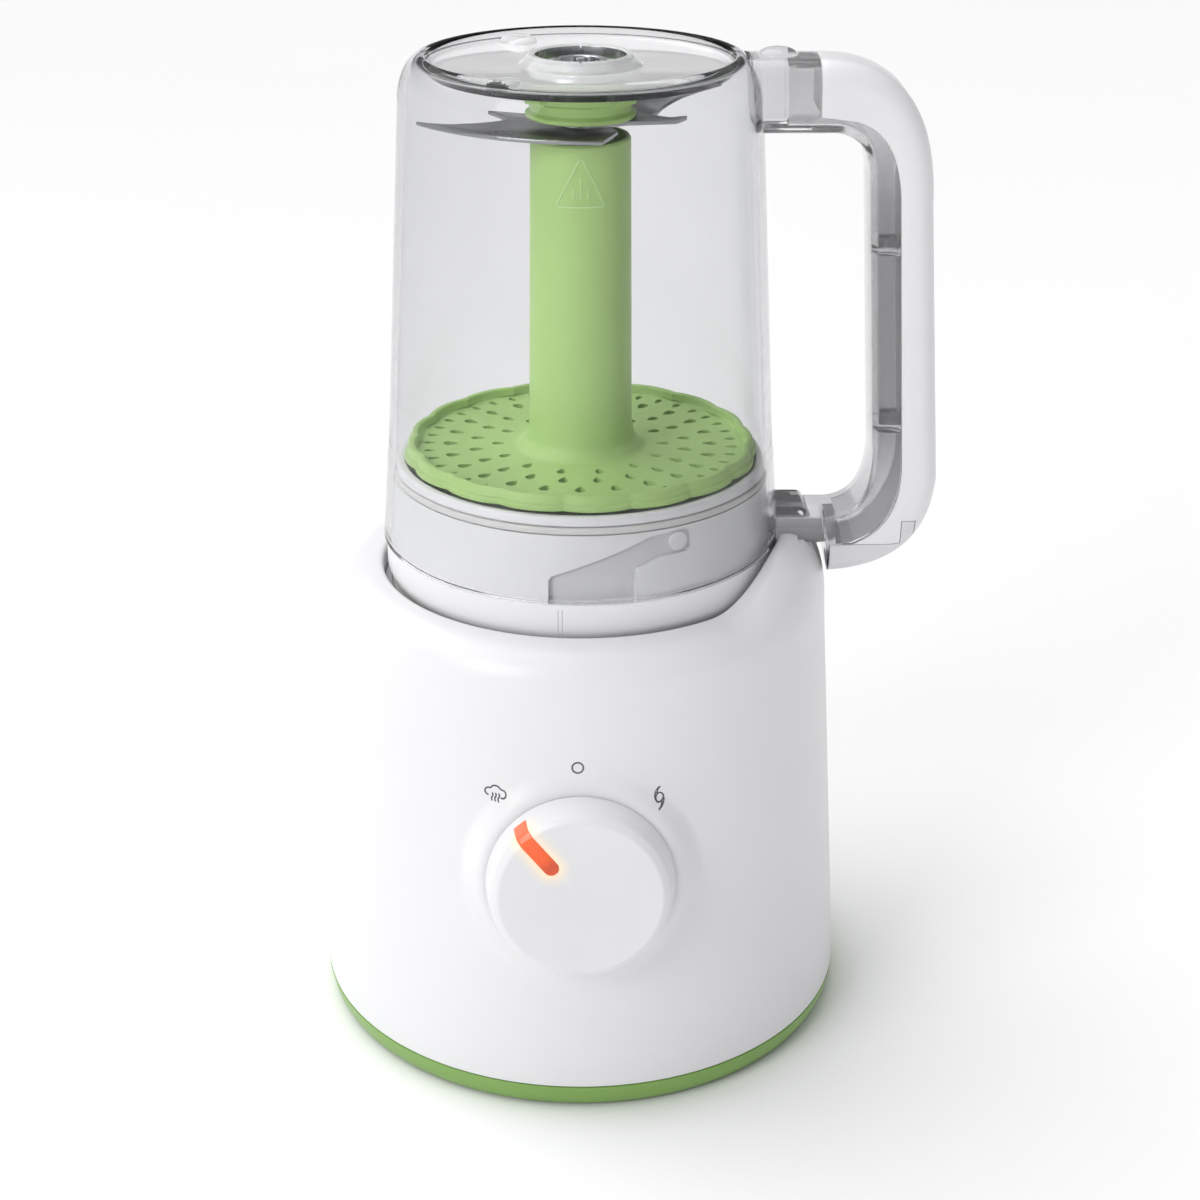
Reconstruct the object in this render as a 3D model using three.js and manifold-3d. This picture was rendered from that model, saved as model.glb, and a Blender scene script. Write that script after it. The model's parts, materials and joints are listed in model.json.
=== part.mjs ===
// Baby food maker: a steamer and a blender in one, standing in its steaming position.
//
// A round base holds the motor, the boiler and the control knob. The clear jar stands upside down on it,
// closed below by the screw-on lid. The steaming basket stands on the lid, inside the jar, and the blade
// unit hangs from the jar's bottom, which is on top in this position.
//
// Millimetres, +Z up, the knob at the front (-Y) and the handle at the right (+X). Everything is drawn
// around the axis of the base; the whole group is then moved so that its origin is at the bottom centre
// of its bounding box.

import * as THREE from 'three';
import { mergeVertices } from 'three/addons/utils/BufferGeometryUtils.js';
import Module from 'manifold-3d';

const wasm = await Module();
wasm.setup();

// ---- Driving dimensions -----------------------------------------------------------------------------

const GAP = 0.3; // clearance between pieces that touch
const ROUND = 36; // sides of a large round piece
const MEDIUM = 24;
const SMALL = 12;

const WALL_FOOT_RADIUS = 84; // outer radius of the base at its foot
const WALL_FOOT_Z = 8.3;
const WALL_DRAFT = 0.065; // the base narrows by this much for each millimetre of height
const WALL = 2.8; // thickness of the base's wall
const SHOULDER_Z = 136; // where the wall starts to round over
const SHOULDER_RISE = 12;
const SEAT_RADIUS = 60.9; // bore of the seat that takes the lid
const SEAT_RIM_RADIUS = 64;
const LEDGE_Z = 139; // ledge under the seat deck
const DECK_TOP = 141.8;

const SADDLE_RISE = 11.5; // the rim rises by this much beside the handle
const SADDLE_CREST = THREE.MathUtils.degToRad(18);
const SADDLE_END = THREE.MathUtils.degToRad(52);

const PLATE_TOP = 5; // bottom plate
const FOOT_CIRCLE = 62;
const SCREW_CIRCLE = 73;
const CORNERS = [45, 135, 225, 315].map(THREE.MathUtils.degToRad);

const KNOB_Z = 78;
const KNOB_RADIUS = 27.7;
const KNOB_FACE = 11.3; // height of the knob's face above the wall
const KNOB_REST = THREE.MathUtils.degToRad(40); // the pointer's angle left of vertical: steaming

const SHAFT_RADIUS = 4;
const BOILER_BOTTOM = 92;
const BOILER_TOP = 127;
const BOILER_BORE = 21;
const BOILER_RADIUS = 54;
const FILLER_Y = 35; // filler neck, behind the axis
const NOZZLE_Y = -36; // steam nozzle, in front of the axis

const LID_BOTTOM = 142.3;
const LID_RIM = 157; // top face of the lid's visible ring
const LID_RADIUS = 59.5;
const COLLAR_TOP = 182;

const JAR_MOUTH = 157.3;
const JAR_MOUTH_RADIUS = 60.4;
const JAR_WALL = 2.5;
const JAR_LEDGE = 183; // the skirt ends and the narrower body starts
const JAR_SHOULDER = 288;
const JAR_RIM = 300.7;
const JAR_RIM_RADIUS = 44.5;
const JAR_END = 297.5; // outer face of the jar's end, set down inside its rim

const HANDLE_WIDTH = 24;
const HANDLE_EDGE = 4; // rounding of the handle's long edges

const BASKET_Z = 184.5; // top face of the perforated plate
const COLUMN_TOP = 275;

const BLADE_Z = 279;
const BLADE_THICKNESS = 1.2;

// ---- Materials ---------------------------------------------------------------------------------------

const FINISHES = {
  white: { color: 0xf3f3f5, roughness: 0.3, metalness: 0 },
  paleGrey: { color: 0xdedde1, roughness: 0.35, metalness: 0 },
  green: { color: 0x76b44b, roughness: 0.35, metalness: 0 },
  lightGreen: { color: 0x9fcd6d, roughness: 0.4, metalness: 0 },
  clear: { color: 0xd5dade, roughness: 0.08, metalness: 0, transparent: true, opacity: 0.45 },
  orange: { color: 0xf06a2c, roughness: 0.2, metalness: 0, emissive: 0xf06a2c },
  steel: { color: 0xa9adb2, roughness: 0.3, metalness: 1 },
  aluminium: { color: 0xb9bcc0, roughness: 0.45, metalness: 1 },
  iron: { color: 0x5b5e63, roughness: 0.6, metalness: 1 },
  copper: { color: 0xb06a3a, roughness: 0.4, metalness: 1 },
  brass: { color: 0xb8974a, roughness: 0.4, metalness: 1 },
  silicone: { color: 0xe4e4e2, roughness: 0.7, metalness: 0 },
  rubber: { color: 0x55575a, roughness: 0.9, metalness: 0 },
  darkPlastic: { color: 0x3a3c40, roughness: 0.5, metalness: 0 },
  board: { color: 0x2f6b45, roughness: 0.6, metalness: 0 },
};

// ---- Geometry helpers --------------------------------------------------------------------------------

function piece(name, geometry, finish) {
  const mesh = new THREE.Mesh(geometry, new THREE.MeshStandardMaterial(FINISHES[finish]));
  mesh.name = name;
  return mesh;
}

function groupOf(...children) {
  const group = new THREE.Group();
  group.add(...children);
  return group;
}

// A profile is a list of [radius, height] points, from the bottom outwards and up; it turns about Z.
function lathe(profile, sides = ROUND) {
  const points = profile.map(([radius, height]) => new THREE.Vector2(radius, height));
  return new THREE.LatheGeometry(points, sides).rotateX(Math.PI / 2);
}

function disc(radius, bottom, top, sides = SMALL) {
  return lathe([[0, bottom], [radius, bottom], [radius, top], [0, top]], sides);
}

function ring(inner, outer, bottom, top, sides = MEDIUM) {
  return lathe([[inner, bottom], [outer, bottom], [outer, top], [inner, top], [inner, bottom]], sides);
}

function block(width, depth, bottom, top) {
  return new THREE.BoxGeometry(width, depth, top - bottom).translate(0, 0, (bottom + top) / 2);
}

// An outline drawn in X and Z, extruded along Y about the plane Y = 0.
function slab(shape, width, curveSegments = 8) {
  const flat = new THREE.ExtrudeGeometry(shape, { depth: width, bevelEnabled: false, curveSegments });
  return flat.translate(0, 0, -width / 2).rotateX(Math.PI / 2);
}

// Points of a quarter ellipse, from its side to its top.
function shoulder(innerRadius, outerRadius, bottom, top, steps) {
  const points = [];
  for (let i = 0; i <= steps; i += 1) {
    const turn = (i / steps) * (Math.PI / 2);
    const radius = innerRadius + (outerRadius - innerRadius) * Math.cos(turn);
    points.push([radius, bottom + (top - bottom) * Math.sin(turn)]);
  }
  return points;
}

function toSolid(geometry) {
  const bare = geometry.clone();
  bare.deleteAttribute('normal');
  bare.deleteAttribute('uv');
  const merged = mergeVertices(bare, 1e-4);
  const corners = merged.index.array;
  const triangles = [];
  for (let i = 0; i < corners.length; i += 3) {
    const [a, b, c] = [corners[i], corners[i + 1], corners[i + 2]];
    if (a !== b && b !== c && c !== a) {
      triangles.push(a, b, c);
    }
  }
  const vertProperties = new Float32Array(merged.attributes.position.array);
  const triVerts = new Uint32Array(triangles);
  return new wasm.Manifold(new wasm.Mesh({ numProp: 3, vertProperties, triVerts }));
}

function toGeometry(solid) {
  const mesh = solid.getMesh();
  const geometry = new THREE.BufferGeometry();
  geometry.setAttribute('position', new THREE.BufferAttribute(mesh.vertProperties, 3));
  geometry.setIndex(new THREE.BufferAttribute(mesh.triVerts, 1));
  return geometry;
}

function join(first, ...others) {
  return toGeometry(others.reduce((solid, other) => solid.add(toSolid(other)), toSolid(first)));
}

function cut(first, ...tools) {
  return toGeometry(tools.reduce((solid, tool) => solid.subtract(toSolid(tool)), toSolid(first)));
}

function common(first, second) {
  return toGeometry(toSolid(first).intersect(toSolid(second)));
}

function around(count, make, start = 0) {
  return Array.from({ length: count }, (_, i) => make().rotateZ(start + (i * 2 * Math.PI) / count));
}

// ---- Base --------------------------------------------------------------------------------------------

function wallRadius(z) {
  return WALL_FOOT_RADIUS - (z - WALL_FOOT_Z) * WALL_DRAFT;
}

// Raises the rim beside the handle: the higher a point is on the shoulder, the more it rises.
function raiseSaddle(geometry) {
  const position = geometry.attributes.position;
  for (let i = 0; i < position.count; i += 1) {
    const z = position.getZ(i);
    const angle = Math.abs(Math.atan2(position.getY(i), position.getX(i)));
    const side = 1 - THREE.MathUtils.smoothstep(angle, SADDLE_CREST, SADDLE_END);
    const height = THREE.MathUtils.clamp((z - SHOULDER_Z + 5) / (SHOULDER_RISE + 5), 0, 1);
    position.setZ(i, z + SADDLE_RISE * side * height ** 1.5);
  }
  return geometry;
}

// The knob's own frame: its origin on the wall, +Z straight out of the wall and +Y up along it.
function placeOnFront(object) {
  object.rotation.x = Math.PI / 2 - Math.atan(WALL_DRAFT);
  object.position.set(0, -wallRadius(KNOB_Z), KNOB_Z);
  return object;
}

function frontTool(geometry) {
  const holder = placeOnFront(new THREE.Object3D());
  holder.updateMatrix();
  return geometry.applyMatrix4(holder.matrix);
}

function baseHousing() {
  const shoulderZ = SHOULDER_Z + SHOULDER_RISE;
  const outside = raiseSaddle(lathe([
    [0, WALL_FOOT_Z],
    [WALL_FOOT_RADIUS, WALL_FOOT_Z],
    [wallRadius(72), 72],
    ...shoulder(SEAT_RIM_RADIUS, wallRadius(SHOULDER_Z), SHOULDER_Z, shoulderZ, 6),
    [SEAT_RADIUS - 1, shoulderZ - 1],
    [0, shoulderZ - 1],
  ], 48));
  const cavity = lathe([
    [0, 0],
    [wallRadius(0) - WALL, 0],
    [wallRadius(130) - WALL, 130],
    [wallRadius(136) - WALL - 2, 136],
    [59, 136],
    [59, LEDGE_Z + 1],
    [0, LEDGE_Z + 1],
  ]);
  const seat = disc(SEAT_RADIUS, LEDGE_Z, 180, ROUND);
  const armSlot = block(23, HANDLE_WIDTH + 1.4, 154.8, 180).translate(69.5, 0, 0);
  const crestNotch = block(3.4, 60, 157.6, 180).translate(67.3, 0, 0);
  const bosses = CORNERS.map((angle) => join(
    disc(4.5, 9, 42, 8).translate(SCREW_CIRCLE, 0, 0),
    block(6, 3, 9, 42).translate(SCREW_CIRCLE + 5, 0, 0),
  ).rotateZ(angle));
  const pilots = CORNERS.map((angle) => disc(2, 8, 28, 8).translate(SCREW_CIRCLE, 0, 0).rotateZ(angle));
  const knobPad = frontTool(disc(KNOB_RADIUS + 1.4, -7, 0.45, MEDIUM));
  const padCavity = frontTool(disc(KNOB_RADIUS - 1.4, -30, -2.4, MEDIUM));
  const shaftHole = frontTool(disc(3.5, -20, 5));
  const lightHole = frontTool(disc(2.7, -20, 5, 12).translate(0, 18, 0).rotateZ(KNOB_REST));
  const glandHole = disc(6.4, -20, 20, 12).rotateX(Math.PI / 2).translate(0, 80, 24);
  const shell = cut(outside, cavity, seat, armSlot, crestNotch);
  return cut(join(shell, knobPad, ...bosses), ...pilots, padCavity, shaftHole, lightHole, glandHole);
}

function bottomPlate() {
  const screwHoles = CORNERS.map((angle) => disc(2.2, 0, 10, 12).translate(SCREW_CIRCLE, 0, 0).rotateZ(angle));
  const vents = around(10, () => block(16, 3, 0, 10).translate(44, 0, 0), Math.PI / 10);
  return cut(disc(WALL_FOOT_RADIUS - 5.3, 2.4, PLATE_TOP, ROUND), ...screwHoles, ...vents);
}

function seatDeck() {
  const deck = lathe([
    [10, LEDGE_Z + GAP],
    [SEAT_RADIUS - GAP, LEDGE_Z + GAP],
    [SEAT_RADIUS - GAP, DECK_TOP],
    [58.6, DECK_TOP],
    [58.6, DECK_TOP - 1],
    [54.4, DECK_TOP - 1],
    [54.4, DECK_TOP],
    [13, DECK_TOP],
    [12, DECK_TOP + 3],
    [10, DECK_TOP + 3],
    [10, LEDGE_Z + GAP],
  ]);
  const filler = disc(12.4, 130, 150).translate(0, FILLER_Y, 0);
  const nozzle = disc(5, 130, 150).translate(0, NOZZLE_Y, 0);
  return cut(deck, filler, nozzle);
}

function baseShells() {
  const baseRing = lathe([
    [79, 1],
    [81.8, 1],
    [83.1, 3.5],
    [WALL_FOOT_RADIUS, WALL_FOOT_Z - GAP],
    [79, WALL_FOOT_Z - GAP],
    [79, 1],
  ]);
  const feet = CORNERS.map((angle, i) => piece(
    `rubber_foot_${i + 1}`,
    disc(7, 0, 2.1).translate(FOOT_CIRCLE, 0, 0).rotateZ(angle - Math.PI / 4),
    'rubber',
  ));
  const screw = [[0, 0.9], [3.2, 0.9], [3.2, 2.1], [1.7, 2.1], [1.7, 25], [0, 26]];
  const screws = CORNERS.map((angle, i) => piece(
    `bottom_screw_${i + 1}`,
    lathe(screw, 8).translate(SCREW_CIRCLE, 0, 0).rotateZ(angle),
    'steel',
  ));
  return groupOf(
    piece('base_housing', baseHousing(), 'white'),
    piece('base_ring', baseRing, 'green'),
    piece('bottom_plate', bottomPlate(), 'darkPlastic'),
    piece('seat_deck', seatDeck(), 'paleGrey'),
    piece('deck_seal', ring(54.7, 58.3, DECK_TOP - 0.7, DECK_TOP + 0.2, ROUND), 'silicone'),
    ...feet,
    ...screws,
  );
}

// ---- Motor -------------------------------------------------------------------------------------------

// A hub on three arms, each ending in a post.
function motorBracket(hubBottom, postBottom, postTop) {
  return join(
    ring(9.3, 14, hubBottom, hubBottom + 6, SMALL),
    ...around(3, () => block(24, 8, hubBottom, hubBottom + 3).translate(24, 0, 0)),
    ...around(3, () => block(4, 8, postBottom, postTop).translate(34, 0, 0)),
  );
}

function coolingFan() {
  const blade = () => block(20, 1.4, 67, 74).translate(18, 0, 0);
  return join(ring(SHAFT_RADIUS + GAP, 10, 66, 75, SMALL), ...around(7, blade));
}

function driveCoupling() {
  const hub = ring(SHAFT_RADIUS + GAP, 6.5, DECK_TOP + 3.6, 154, SMALL);
  const tooth = () => block(4, 2.6, DECK_TOP + 4.6, 153.4).translate(7, 0, 0);
  return join(hub, ...around(6, tooth));
}

function motorUnit() {
  const rotor = lathe([
    [0, 11],
    [SHAFT_RADIUS, 11],
    [SHAFT_RADIUS, 23],
    [10, 23],
    [10, 29],
    [18, 31],
    [18, 59],
    [11, 62],
    [SHAFT_RADIUS, 62],
    [SHAFT_RADIUS, 153],
    [0, 153],
  ], SMALL);
  const bearing = (bottom) => ring(SHAFT_RADIUS + GAP, 9, bottom, bottom + 5, SMALL);
  const brush = (side) => block(13, 6, 23.4, 28.6).translate(side * 17, 0, 0);
  return groupOf(
    piece('motor_stator', ring(18.6, 31.5, 31, 60), 'iron'),
    piece('motor_rotor', rotor, 'copper'),
    piece('motor_fan', coolingFan(), 'darkPlastic'),
    piece('drive_coupling', driveCoupling(), 'steel'),
    piece('lower_motor_bracket', motorBracket(14, PLATE_TOP + GAP, 30.6), 'aluminium'),
    piece('upper_motor_bracket', motorBracket(78, 60.4, 81), 'aluminium'),
    piece('lower_bearing', bearing(14.5), 'steel'),
    piece('upper_bearing', bearing(78.5), 'steel'),
    piece('brush_holder_left', brush(-1), 'brass'),
    piece('brush_holder_right', brush(1), 'brass'),
    piece('shaft_seal', ring(SHAFT_RADIUS + GAP, 9.6, LEDGE_Z + 0.5, DECK_TOP + 2.8, SMALL), 'silicone'),
  );
}

// ---- Boiler ------------------------------------------------------------------------------------------

function boiler() {
  const shell = ring(BOILER_BORE, BOILER_RADIUS, BOILER_BOTTOM, BOILER_TOP);
  const neck = disc(13.5, BOILER_TOP - 5, LEDGE_Z).translate(0, FILLER_Y, 0);
  const inside = ring(BOILER_BORE + 1.6, BOILER_RADIUS - 1.6, BOILER_BOTTOM + 1.6, BOILER_TOP - 1.6);
  const neckBore = disc(11.5, BOILER_TOP - 10, LEDGE_Z + 1).translate(0, FILLER_Y, 0);
  const outlet = disc(2.5, BOILER_TOP - 10, LEDGE_Z, 12).translate(0, NOZZLE_Y, 0);
  return cut(join(shell, neck), inside, neckBore, outlet);
}

function boilerCap() {
  const body = lathe([
    [0, LEDGE_Z - 8],
    [10.9, LEDGE_Z - 8],
    [11.1, DECK_TOP + 1.9],
    [14.6, DECK_TOP + 1.9],
    [14.6, DECK_TOP + 4.5],
    [0, DECK_TOP + 4.5],
  ], MEDIUM);
  const grip = block(22, 4, DECK_TOP + 3, DECK_TOP + 9);
  return join(body, grip).translate(0, FILLER_Y, 0);
}

// A ring of round tube, open on the left where the thermostat sits.
function heatingElement() {
  const route = new THREE.EllipseCurve(0, 0, 38, 38, -0.8 * Math.PI, 0.8 * Math.PI);
  const points = route.getPoints(20).map((point) => new THREE.Vector3(point.x, point.y, 84.6));
  const section = new THREE.Shape().absarc(0, 0, 3.3, 0, 2 * Math.PI);
  const path = new THREE.CatmullRomCurve3(points);
  return new THREE.ExtrudeGeometry(section, { steps: 20, curveSegments: 4, extrudePath: path });
}

function boilerUnit() {
  const nozzle = ring(2.5, 4.6, BOILER_TOP + GAP, 155.6, 12).translate(0, NOZZLE_Y, 0);
  const nozzleSeal = ring(4.9, 8, 149, 156.6, SMALL).translate(0, NOZZLE_Y, 0);
  const capSeal = ring(11.5, 14.6, DECK_TOP + GAP, DECK_TOP + 1.6, SMALL).translate(0, FILLER_Y, 0);
  return groupOf(
    piece('boiler', boiler(), 'aluminium'),
    piece('heating_plate', ring(BOILER_BORE + 2, 47, 88.3, BOILER_BOTTOM - GAP), 'aluminium'),
    piece('heating_element', heatingElement(), 'steel'),
    piece('thermostat', disc(7, 80, 88).translate(-38, 0, 0), 'darkPlastic'),
    piece('steam_nozzle', nozzle, 'white'),
    piece('steam_nozzle_seal', nozzleSeal, 'silicone'),
    piece('boiler_cap', boilerCap(), 'green'),
    piece('boiler_cap_seal', capSeal, 'silicone'),
  );
}

// ---- Controls ----------------------------------------------------------------------------------------

function knobOutside() {
  return lathe([
    [0, 0.8],
    [KNOB_RADIUS, 0.8],
    [KNOB_RADIUS - 0.5, 4],
    [KNOB_RADIUS - 1.4, 8],
    [KNOB_RADIUS - 2.6, KNOB_FACE - 1.3],
    [KNOB_RADIUS - 4.6, KNOB_FACE - 0.3],
    [0, KNOB_FACE],
  ], MEDIUM + SMALL);
}

// A bar with a round inner end, from near the knob's centre out past its edge.
function pointerBar(extra, bottom) {
  const half = 2.15 + extra;
  const shape = new THREE.Shape();
  shape.moveTo(half, 40);
  shape.lineTo(-half, 40);
  shape.lineTo(-half, 13);
  shape.absarc(0, 13, half, Math.PI, 2 * Math.PI);
  const bar = new THREE.ExtrudeGeometry(shape, { depth: 20, bevelEnabled: false, curveSegments: 6 });
  return bar.translate(0, 0, bottom);
}

function controls() {
  const hollow = lathe([
    [6, -1],
    [KNOB_RADIUS - 2.8, -1],
    [KNOB_RADIUS - 4.5, KNOB_FACE - 3],
    [6, KNOB_FACE - 2.7],
    [6, -1],
  ], MEDIUM);
  const knob = cut(knobOutside(), hollow, disc(3.3, -1, 7.4), pointerBar(GAP, 4.4));
  const pointer = common(knobOutside(), pointerBar(0, 4.4 + GAP));
  const turning = groupOf(piece('knob', knob, 'white'), piece('knob_pointer', pointer, 'orange'));
  turning.add(piece('knob_shaft', disc(3, -15, 7), 'darkPlastic'));
  turning.rotation.z = KNOB_REST;
  const light = disc(2.3, -9, 3.2, 12).translate(0, 18, 0).rotateZ(KNOB_REST);
  return placeOnFront(groupOf(
    turning,
    piece('rotary_switch', cut(block(22, 22, -16.5, -3), disc(3.4, -20, 0)), 'darkPlastic'),
    piece('indicator_light', light, 'orange'),
  ));
}

function electrics() {
  const gland = lathe([[3.2, -10], [6, -10], [6, 4], [8.4, 4.4], [7.6, 7], [3.2, 7], [3.2, -10]], 12);
  return groupOf(
    piece('circuit_board', block(1.6, 44, 20, 66).translate(-58, 0, 0), 'board'),
    piece('cord_gland', gland.rotateX(-Math.PI / 2).translate(0, wallRadius(24) - 3.4, 24), 'darkPlastic'),
  );
}

// ---- Lid and basket ----------------------------------------------------------------------------------

function lidUnit() {
  const lid = lathe([
    [52, LID_BOTTOM],
    [55.6, LID_BOTTOM],
    ...shoulder(55.6, LID_RADIUS, LID_BOTTOM + 5, LID_BOTTOM + 0.4, 2).reverse(),
    [LID_RADIUS, LID_RIM - 0.6],
    [LID_RADIUS - 0.6, LID_RIM],
    [57.4, LID_RIM],
    [55.9, 176.7],
    [54.6, 176.7],
    [54.6, 179.3],
    [55.6, 179.3],
    [55.3, COLLAR_TOP],
    [52.7, COLLAR_TOP],
    [53.6, 160],
    [0, 160],
    [0, 157.2],
    [50, 157.2],
    [51.2, 156],
    [52, LID_BOTTOM],
  ]);
  const holes = [-1, 0, 1].map((side) => disc(1.1, 150, 165, 8).translate(side * 2.6, NOZZLE_Y, 0));
  return groupOf(
    piece('lid', cut(lid, ...holes), 'white'),
    piece('lid_seal', ring(54.9, 56.1, 177, 179, ROUND), 'silicone'),
  );
}

function basketPlate() {
  const outline = new THREE.Shape().absarc(0, 0, 53.2, 0, 2 * Math.PI);
  for (const [radius, count] of [[27, 8], [40, 14]]) {
    for (let i = 0; i < count; i += 1) {
      const turn = (i * 2 * Math.PI) / count;
      const hole = new THREE.Path().absellipse(
        radius * Math.cos(turn), radius * Math.sin(turn), 3.4, 2.2, 0, 2 * Math.PI, false, turn,
      );
      outline.holes.push(new THREE.Path(hole.getPoints(6).slice(0, -1)));
    }
  }
  const edge = new THREE.Shape(outline.getPoints(ROUND).slice(0, -1));
  edge.holes = outline.holes;
  const plate = new THREE.ExtrudeGeometry(edge, { depth: 2, bevelEnabled: false });
  return plate.translate(0, 0, BASKET_Z - 2);
}

function basket() {
  const rim = ring(50, 51.8, BASKET_Z - 1, BASKET_Z + 2.6, ROUND);
  const column = lathe([
    [13.6, BASKET_Z - 2],
    [19, BASKET_Z - 2],
    [17, BASKET_Z + 2.4],
    [15.4, BASKET_Z + 6],
    [14.5, COLUMN_TOP - 0.6],
    [14.1, COLUMN_TOP],
    [13, COLUMN_TOP],
    [13.6, BASKET_Z - 2],
  ], MEDIUM);
  const bore = disc(13.7, BASKET_Z - 5, BASKET_Z + 2, MEDIUM);
  return join(cut(join(basketPlate(), rim), bore), column);
}

// ---- Jar and handle ----------------------------------------------------------------------------------

function skirtRadius(z) {
  return JAR_MOUTH_RADIUS - (z - JAR_MOUTH) * 0.078;
}

function bodyRadius(z) {
  return 57.9 - (z - 186.5) * 0.058;
}

function jarShell() {
  const shoulderRadius = bodyRadius(JAR_SHOULDER);
  return lathe([
    [skirtRadius(JAR_MOUTH) - JAR_WALL, JAR_MOUTH],
    [JAR_MOUTH_RADIUS, JAR_MOUTH],
    [skirtRadius(JAR_LEDGE), JAR_LEDGE],
    [57.9, 186.5],
    ...shoulder(JAR_RIM_RADIUS, shoulderRadius, JAR_SHOULDER, JAR_RIM, 4),
    [JAR_RIM_RADIUS - 1.6, JAR_END],
    [17.6, JAR_END],
    [16.6, JAR_RIM - 0.8],
    [15.4, JAR_RIM],
    [13.4, JAR_RIM],
    [10.4, JAR_RIM - 1.6],
    [9.6, JAR_RIM - 4],
    [9.6, JAR_END - JAR_WALL],
    [42, JAR_END - JAR_WALL],
    [shoulderRadius - JAR_WALL - 2, JAR_END - 5.5],
    [shoulderRadius - JAR_WALL, JAR_SHOULDER],
    [57.9 - JAR_WALL, 186.5],
    [skirtRadius(JAR_LEDGE) - JAR_WALL, JAR_LEDGE],
    [skirtRadius(JAR_MOUTH) - JAR_WALL, JAR_MOUTH],
  ]);
}

// The whole handle's outline: the outer edge, then back along the finger opening. An inset of more than
// zero draws the clear frame's inner pocket, that much inside the finger opening's edge.
function handleOutline(inset) {
  const shape = new THREE.Shape();
  shape.moveTo(50, 300.2);
  shape.lineTo(70, 300.2);
  shape.quadraticCurveTo(100.5, 299, 101.2, 258.7);
  shape.lineTo(107.5, 176);
  shape.quadraticCurveTo(106.5, 147, 75.6, 145);
  shape.lineTo(75.6, 155.5);
  shape.lineTo(58, 155.5);
  shape.lineTo(58, 163.6 - inset);
  shape.lineTo(74, 163.6 - inset);
  shape.quadraticCurveTo(88 + inset, 164 - inset, 87.4 + inset, 184);
  shape.lineTo(82.4 + inset, 266);
  shape.quadraticCurveTo(81.8 + inset, 279.8 + inset, 71, 279.8 + inset);
  shape.lineTo(50, 279.8 + inset);
  return shape;
}

// The seam between the clear frame and the white cover, moved to the right by an offset.
function coverRegion(offset) {
  const shape = new THREE.Shape();
  shape.moveTo(66.7 + offset, 305);
  shape.lineTo(67.2 + offset, 285 + offset);
  shape.lineTo(76.6 + offset, 283.9 + offset);
  shape.quadraticCurveTo(90.2 + offset, 281 + offset, 91 + offset, 258.7);
  shape.lineTo(95.8 + offset, 181.7);
  shape.quadraticCurveTo(97 + offset, 161 - offset, 82.2 + offset, 155.6 - offset);
  shape.lineTo(75.6 + offset, 155.5 - offset);
  shape.lineTo(75.6 + offset, 140);
  shape.lineTo(115, 140);
  shape.lineTo(115, 305);
  return shape;
}

// The part of the cover below its lower seam, with the snap tab standing up from it.
function lowerCapRegion(clearance) {
  const shape = new THREE.Shape();
  shape.moveTo(70, 140);
  shape.lineTo(115, 140);
  shape.lineTo(115, 155.5 + clearance);
  shape.lineTo(101.2 + clearance, 155.5 + clearance);
  shape.lineTo(101.2 + clearance, 163 + clearance);
  shape.lineTo(97.2 - clearance, 163 + clearance);
  shape.lineTo(97.2 - clearance, 155.5 + clearance);
  shape.lineTo(70, 155.5 + clearance);
  return shape;
}

// The low thumb-stop on top of the handle's lower arm, beside the jar.
function thumbStop() {
  const shape = new THREE.Shape();
  shape.moveTo(58, 160);
  shape.lineTo(68.8, 160);
  shape.lineTo(68.8, 163.6);
  shape.quadraticCurveTo(68.5, 166, 66, 166.2);
  shape.lineTo(58, 166.2);
  return slab(shape, 16);
}

function roundedHandle() {
  const bevel = {
    depth: HANDLE_WIDTH - 2 * HANDLE_EDGE,
    bevelThickness: HANDLE_EDGE,
    bevelSize: HANDLE_EDGE,
    bevelOffset: -HANDLE_EDGE,
    bevelSegments: 3,
    curveSegments: 8,
  };
  const solid = new THREE.ExtrudeGeometry(handleOutline(0), bevel);
  return solid.translate(0, 0, HANDLE_EDGE - HANDLE_WIDTH / 2).rotateX(Math.PI / 2);
}

function handlePocket() {
  const whole = slab(handleOutline(2.4), HANDLE_WIDTH - 6);
  const ribs = [192, 246].map((z) => block(60, 40, z, z + 2.5).translate(90, 0, 0));
  const arms = block(30, 40, 130, 320).translate(56, 0, 0);
  return cut(whole, arms, ...ribs);
}

function jar(whole) {
  const frame = cut(whole, slab(coverRegion(0), 40), handlePocket());
  const boreProfile = [
    [0, 140],
    [LID_RADIUS + 1, 140],
    [LID_RADIUS + 1, JAR_MOUTH],
    [skirtRadius(JAR_MOUTH) - 1, JAR_MOUTH],
    [skirtRadius(JAR_LEDGE) - 1, JAR_LEDGE],
    [56.9, 186.5],
    [bodyRadius(JAR_SHOULDER) - 1, JAR_SHOULDER],
    [JAR_RIM_RADIUS, JAR_RIM - 1.6],
    [JAR_RIM_RADIUS, 310],
    [0, 310],
  ];
  const arms = cut(join(frame, thumbStop()), lathe(boreProfile));
  const dome = [[0, -1], ...shoulder(0, 5.6, 0, 2.4, 3)];
  const bumps = [[-18.5, 35, JAR_END], [-19.7, -32.6, JAR_END], [55.5, 0, 300.2]];
  const domes = bumps.map(([x, y, z]) => lathe([dome[0], [5.6, -1], ...dome.slice(1)], 12).translate(x, y, z));
  return join(jarShell(), arms, ...domes);
}

function jarUnit() {
  const whole = roundedHandle();
  const cover = cut(common(whole, slab(coverRegion(GAP), 40)), slab(lowerCapRegion(GAP), 40));
  const lowerCap = common(common(whole, slab(coverRegion(GAP), 40)), slab(lowerCapRegion(0), 40));
  return groupOf(
    piece('jar', jar(whole), 'clear'),
    piece('handle_cover', cover, 'white'),
    piece('handle_lower_cap', lowerCap, 'paleGrey'),
  );
}

// ---- Blade unit --------------------------------------------------------------------------------------

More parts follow.
